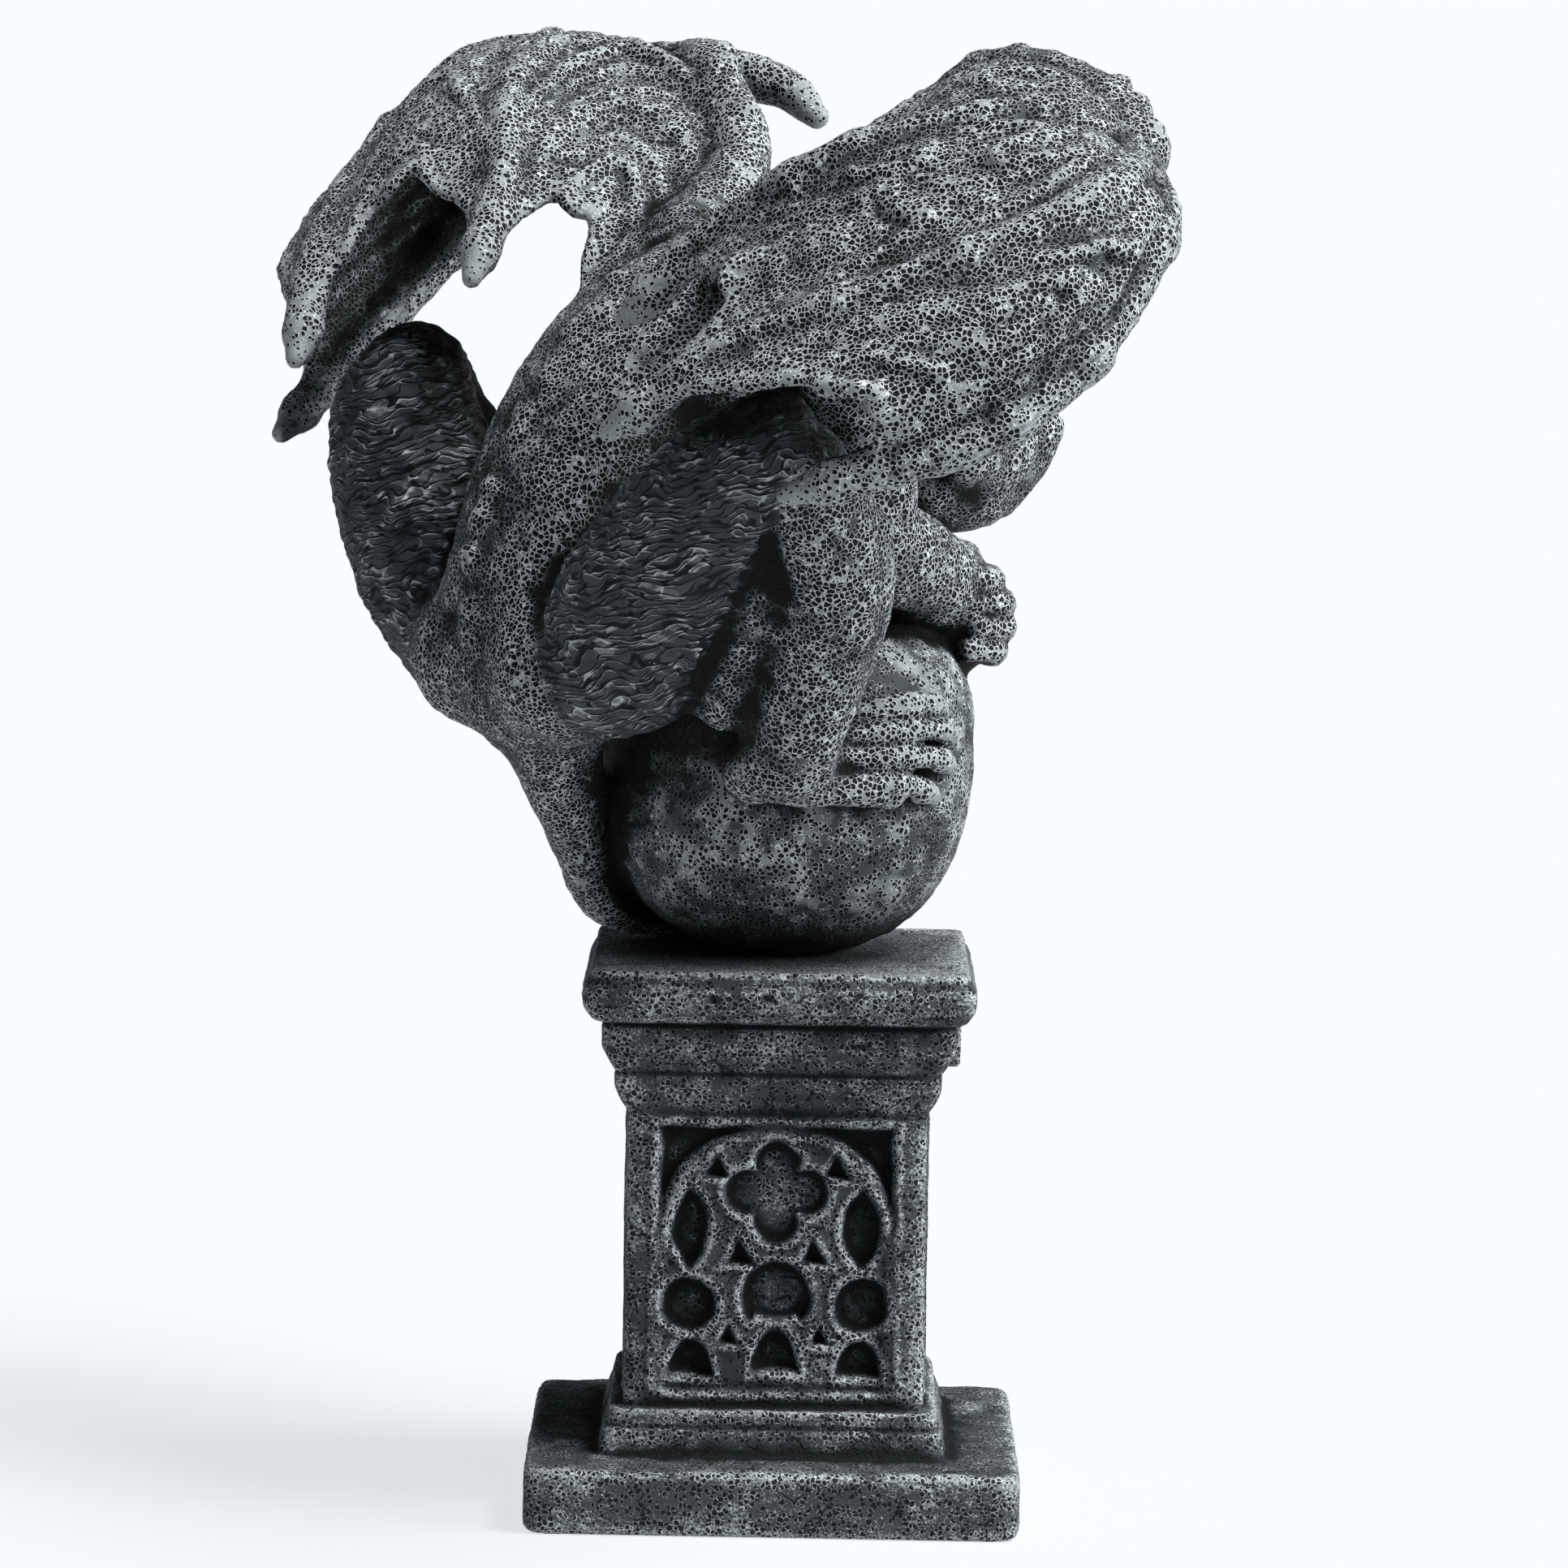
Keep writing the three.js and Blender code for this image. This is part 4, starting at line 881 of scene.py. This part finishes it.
def figure_stone(name, tufts):
    m = Nodes(name)
    P = m.position()
    cav1, cav4, cav10 = m.attr("cav1"), m.attr("cav4"), m.attr("cav10")
    pore, low, ball = m.attr("pore"), m.attr("low"), m.attr("ball")
    patch = m.step(m.noise(P, 0.16, 0), 0.20, 0.34, 0.55, 1.0)
    crest = m.step(cav4, -0.13, -0.36)
    size = m.math("MULTIPLY", m.math("MULTIPLY", pore, patch), m.math("MULTIPLY_ADD", crest, -0.32, 1.0))
    spare = m.math("MULTIPLY", ball, 0.12)
    hole, rim, P2 = pits(m, P, 0.95, size, spare, 0.08)
    grain = m.noise(P, 2.2, 3, 0.62)
    # brush and tool marks run along the wing's fingers
    run = m.math("MULTIPLY", m.dot(P, GRAIN_DIR), -0.88)
    streak = m.noise(m.vmath("ADD", P, m.vmath("SCALE", GRAIN_DIR, scale=run)), 1.3, 2, 0.6)
    # drybrush and painted highlight on what stands proud, dark wash and painted shade in what lies deep
    proud = m.math("MINIMUM", m.math("ADD", m.math("MULTIPLY", cav1, -1.8), m.math("MULTIPLY", cav4, -1.3)), 0.44)
    # pale rims round the pores: drybrush and a painted highlight on the pore walls
    dry_and_highlight = m.math("ADD", proud, m.math("MULTIPLY", rim, 0.80))
    dry_and_highlight = m.math("ADD", dry_and_highlight, m.math("MULTIPLY_ADD", grain, 0.65, -0.345))
    dry_and_highlight = m.math("ADD", dry_and_highlight, m.math("MULTIPLY", m.attr("band"), m.math("MULTIPLY_ADD", streak, 2.2, -1.15)))
    wash_and_shade = m.math("ADD", m.math("MULTIPLY", cav1, 1.8), m.math("MULTIPLY", cav4, 3.4))
    wash_and_shade = m.math("ADD", wash_and_shade, m.math("MULTIPLY", m.math("SUBTRACT", cav10, 0.06), 1.5))
    # painted shade where the rest of the figure hides the sky
    wash_and_shade = m.math("ADD", m.math("MAXIMUM", wash_and_shade, 0.0), m.math("MULTIPLY", m.step(m.attr("shade"), 0.24, 0.74), 0.96))
    h = m.math("MULTIPLY_ADD", hole, -1.3, m.math("MULTIPLY", rim, 0.2))
    if tufts:
        # wavy blades, a painted highlight along the upper edge and painted shade in the gap below
        fur = m.attr("fur")
        sway = m.vmath("SUBTRACT", m.noise(P, 0.09, 2, colour=True), (0.5, 0.5, 0.5))
        x, y, z = m.split(m.vmath("ADD", P, m.vmath("SCALE", sway, scale=9.0)))
        lay = m.combine(m.math("MULTIPLY", x, 0.19), m.math("MULTIPLY", y, 0.19), m.math("SUBTRACT", m.math("MULTIPLY", z, 0.84), m.math("MULTIPLY", x, 0.20)))
        sv = m.voronoi(lay, 1.0)
        se = m.voronoi(lay, 1.0, "DISTANCE_TO_EDGE")
        off = m.split(m.vmath("SUBTRACT", lay, sv.outputs["Position"]))[2]
        edge = m.step(se.outputs["Distance"], 0.15, 0.03)
        lit = m.math("MULTIPLY", edge, m.step(off, 0.0, 0.14))
        cut = m.math("MULTIPLY", m.step(se.outputs["Distance"], 0.24, 0.06), m.step(off, 0.04, -0.16))
        blade = m.math("ADD", m.math("MULTIPLY", off, 1.1), m.math("MULTIPLY", cut, -0.7))
        dry_and_highlight = m.math("ADD", dry_and_highlight, m.math("MULTIPLY", fur, m.math("ADD", m.math("MULTIPLY_ADD", lit, 0.62, -0.42), m.math("MULTIPLY", m.split(sv.outputs["Color"])[0], 0.22))))
        wash_and_shade = m.math("ADD", wash_and_shade, m.math("MULTIPLY", fur, m.math("MULTIPLY", cut, 1.0)))
        h = m.math("ADD", h, m.math("MULTIPLY", m.math("MULTIPLY", blade, fur), 1.5))
    dry_and_highlight = m.math("ADD", dry_and_highlight, 0.0, clamp=True)
    # painted shade and a darker wash towards the ball's foot
    wash_and_shade = m.math("MAXIMUM", wash_and_shade, m.math("MULTIPLY", low, 0.97))
    wash_and_shade = m.math("MINIMUM", m.math("MAXIMUM", wash_and_shade, 0.0), 0.97)
    col = m.mix(dry_and_highlight, MID, PALE)
    col = m.mix(wash_and_shade, col, DARK)
    # pores painted dark: dark paint in the pits and painted shade, as the pores are only a bump
    col = m.mix(hole, col, DARK)
    nrm = m.bump(h, 0.00060, 0.9)
    rough = m.math("MULTIPLY_ADD", grain, 0.2, 0.62)
    return m.finish(col, rough, nrm)


def plinth_stone():
    m = Nodes("plinth_stone")
    P = m.position()
    warp = m.vmath("SUBTRACT", m.noise(P, 0.3, 2, colour=True), (0.5, 0.5, 0.5))
    P2 = m.vmath("ADD", P, m.vmath("SCALE", warp, scale=1.6))
    cav1, cav4, cav10, low = m.attr("cav1"), m.attr("cav4"), m.attr("cav10"), m.attr("low")
    x, y, z = m.split(P2)
    # brush strokes lie level on the faces
    lay = m.combine(m.math("MULTIPLY", x, 0.14), m.math("MULTIPLY", y, 0.14), m.math("MULTIPLY", z, 1.1))
    stroke = m.noise(lay, 1.0, 4, 0.65)
    grain = m.noise(P, 2.0, 4, 0.68)
    blot = m.noise(P, 0.10, 3)
    size = m.step(m.noise(P, 0.17, 2), 0.28, 0.50, 0.25, 0.98)
    hole, rim, _ = pits(m, P, 0.98, m.math("MULTIPLY", size, 0.74), 0.22, 0.09)
    # short tool cuts
    cut = m.voronoi(m.combine(m.math("MULTIPLY", x, 0.22), m.math("MULTIPLY", y, 0.22), m.math("MULTIPLY", z, 0.22)), 1.0, "DISTANCE_TO_EDGE")
    crack = m.math("MULTIPLY", m.step(cut.outputs["Distance"], 0.035, 0.01), m.step(m.noise(P, 0.2, 1), 0.56, 0.62))
    # drybrush and painted highlight on what stands proud and on the pore rims
    proud = m.math("MINIMUM", m.math("ADD", m.math("MULTIPLY", cav1, -1.7), m.math("MULTIPLY", cav4, -0.5)), 0.42)
    dry_and_highlight = m.math("ADD", proud, m.math("MULTIPLY_ADD", grain, 2.6, -1.38))
    dry_and_highlight = m.math("ADD", dry_and_highlight, m.math("MULTIPLY", rim, 0.42))
    dry_and_highlight = m.math("ADD", dry_and_highlight, m.math("MULTIPLY_ADD", stroke, 0.8, -0.38))
    dry_and_highlight = m.math("ADD", dry_and_highlight, m.math("MULTIPLY_ADD", blot, 0.15, -0.06))
    dry_and_highlight = m.math("MULTIPLY", m.step(dry_and_highlight, -0.02, 0.95), 0.98)
    # dark wash and painted shade in what lies deep, and painted shade under the ball
    wash_and_shade = m.math("ADD", m.math("MULTIPLY", cav1, 1.4), m.math("MULTIPLY", cav4, 2.2))
    wash_and_shade = m.math("ADD", wash_and_shade, m.math("MULTIPLY", m.math("SUBTRACT", cav10, 0.04), 1.8))
    wash_and_shade = m.math("MAXIMUM", wash_and_shade, m.math("MULTIPLY", low, 0.75))
    wash_and_shade = m.math("MINIMUM", m.math("MAXIMUM", wash_and_shade, 0.0), 0.96)
    col = m.mix(dry_and_highlight, MID, PALE)
    col = m.mix(wash_and_shade, col, DARK)
    # pores and tool cuts painted dark: dark paint in them and painted shade, as they are only a bump
    col = m.mix(m.math("MULTIPLY", m.math("MAXIMUM", hole, crack), 0.93), col, DARK)
    h = m.math("MULTIPLY_ADD", m.math("MAXIMUM", hole, crack), -0.9, m.math("MULTIPLY", grain, 0.7))
    h = m.math("ADD", h, m.math("MULTIPLY", stroke, 0.35))
    nrm = m.bump(h, 0.0006, 0.9)
    rough = m.math("MULTIPLY_ADD", grain, 0.2, 0.62)
    return m.finish(col, rough, nrm)


# ------------------------------------------------------------------ pieces
figure = make_figure()
figure.data.materials.append(figure_stone("figure_stone", False))
figure.data.materials.append(figure_stone("figure_tufts", True))
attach(figure, "root")
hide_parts("gargoyle")

block = make_plinth()
block.data.materials.append(plinth_stone())
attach(block, "root")
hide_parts("plinth")

# ------------------------------------------------------------------ floor, light, camera
me = bpy.data.meshes.new("floor")
me.from_pydata([(-400, -400, 0), (400, -400, 0), (400, 400, 0), (-400, 400, 0)], [], [(0, 1, 2, 3)])
floor = bpy.data.objects.new("floor", me)
bpy.context.scene.collection.objects.link(floor)
fm = bpy.data.materials.new("floor_pale")
fm.use_nodes = True
fb = fm.node_tree.nodes["Principled BSDF"]
fb.inputs["Base Color"].default_value = (0.12, 0.122, 0.125, 1)
fb.inputs["Emission Color"].default_value = (0.94, 0.975, 1.0, 1)
fb.inputs["Emission Strength"].default_value = 0.75
fb.inputs["Roughness"].default_value = 0.9
fb.inputs["Specular IOR Level"].default_value = 0.1
me.materials.append(fm)


def area(name, at, to, size, power, colour=(1, 1, 1)):
    L = bpy.data.lights.new(name, "AREA")
    L.shape = "RECTANGLE"
    L.size, L.size_y = size
    L.energy = power
    L.color = colour
    o = bpy.data.objects.new(name, L)
    bpy.context.scene.collection.objects.link(o)
    o.location = at
    o.rotation_euler = (Vector(to) - Vector(at)).to_track_quat("-Z", "Y").to_euler()
    return o


def sun(name, to_light, strength, spread, colour=(1, 1, 1)):
    L = bpy.data.lights.new(name, "SUN")
    L.energy, L.angle, L.color = strength, math.radians(spread), colour
    o = bpy.data.objects.new(name, L)
    bpy.context.scene.collection.objects.link(o)
    o.location = Vector(to_light).normalized() * 2
    o.rotation_euler = (-Vector(to_light)).to_track_quat("-Z", "Y").to_euler()
    return o


sun("top", (0.42, -0.20, 0.88), 5.6, 26, (1.0, 0.99, 0.98))
sun("right", (0.92, -0.26, 0.34), 3.3, 34)

world = bpy.data.worlds.new("studio")
bpy.context.scene.world = world
world.use_nodes = True
world.node_tree.nodes["Background"].inputs[0].default_value = (0.90, 0.95, 1.0, 1)
world.node_tree.nodes["Background"].inputs[1].default_value = 0.10
bpy.context.scene.view_settings.view_transform = "Standard"

PITCH, ROLL, REACH, AIM = math.radians(6.2), math.radians(1.04), 1.441, 0.1369
fwd = Vector((0, math.cos(PITCH), -math.sin(PITCH)))
up0 = Vector((0, math.sin(PITCH), math.cos(PITCH)))
rt0 = Vector((1, 0, 0))
rt = rt0 * math.cos(ROLL) + up0 * math.sin(ROLL)
up = up0 * math.cos(ROLL) - rt0 * math.sin(ROLL)
cam = bpy.data.cameras.new("camera")
cam.lens = 173.24
cam.sensor_width = 36.0
co = bpy.data.objects.new("camera", cam)
bpy.context.scene.collection.objects.link(co)
pos = Vector((0, 0, AIM)) - fwd * REACH
co.matrix_world = Matrix(((rt.x, up.x, -fwd.x, pos.x), (rt.y, up.y, -fwd.y, pos.y), (rt.z, up.z, -fwd.z, pos.z), (0, 0, 0, 1)))
bpy.context.scene.camera = co
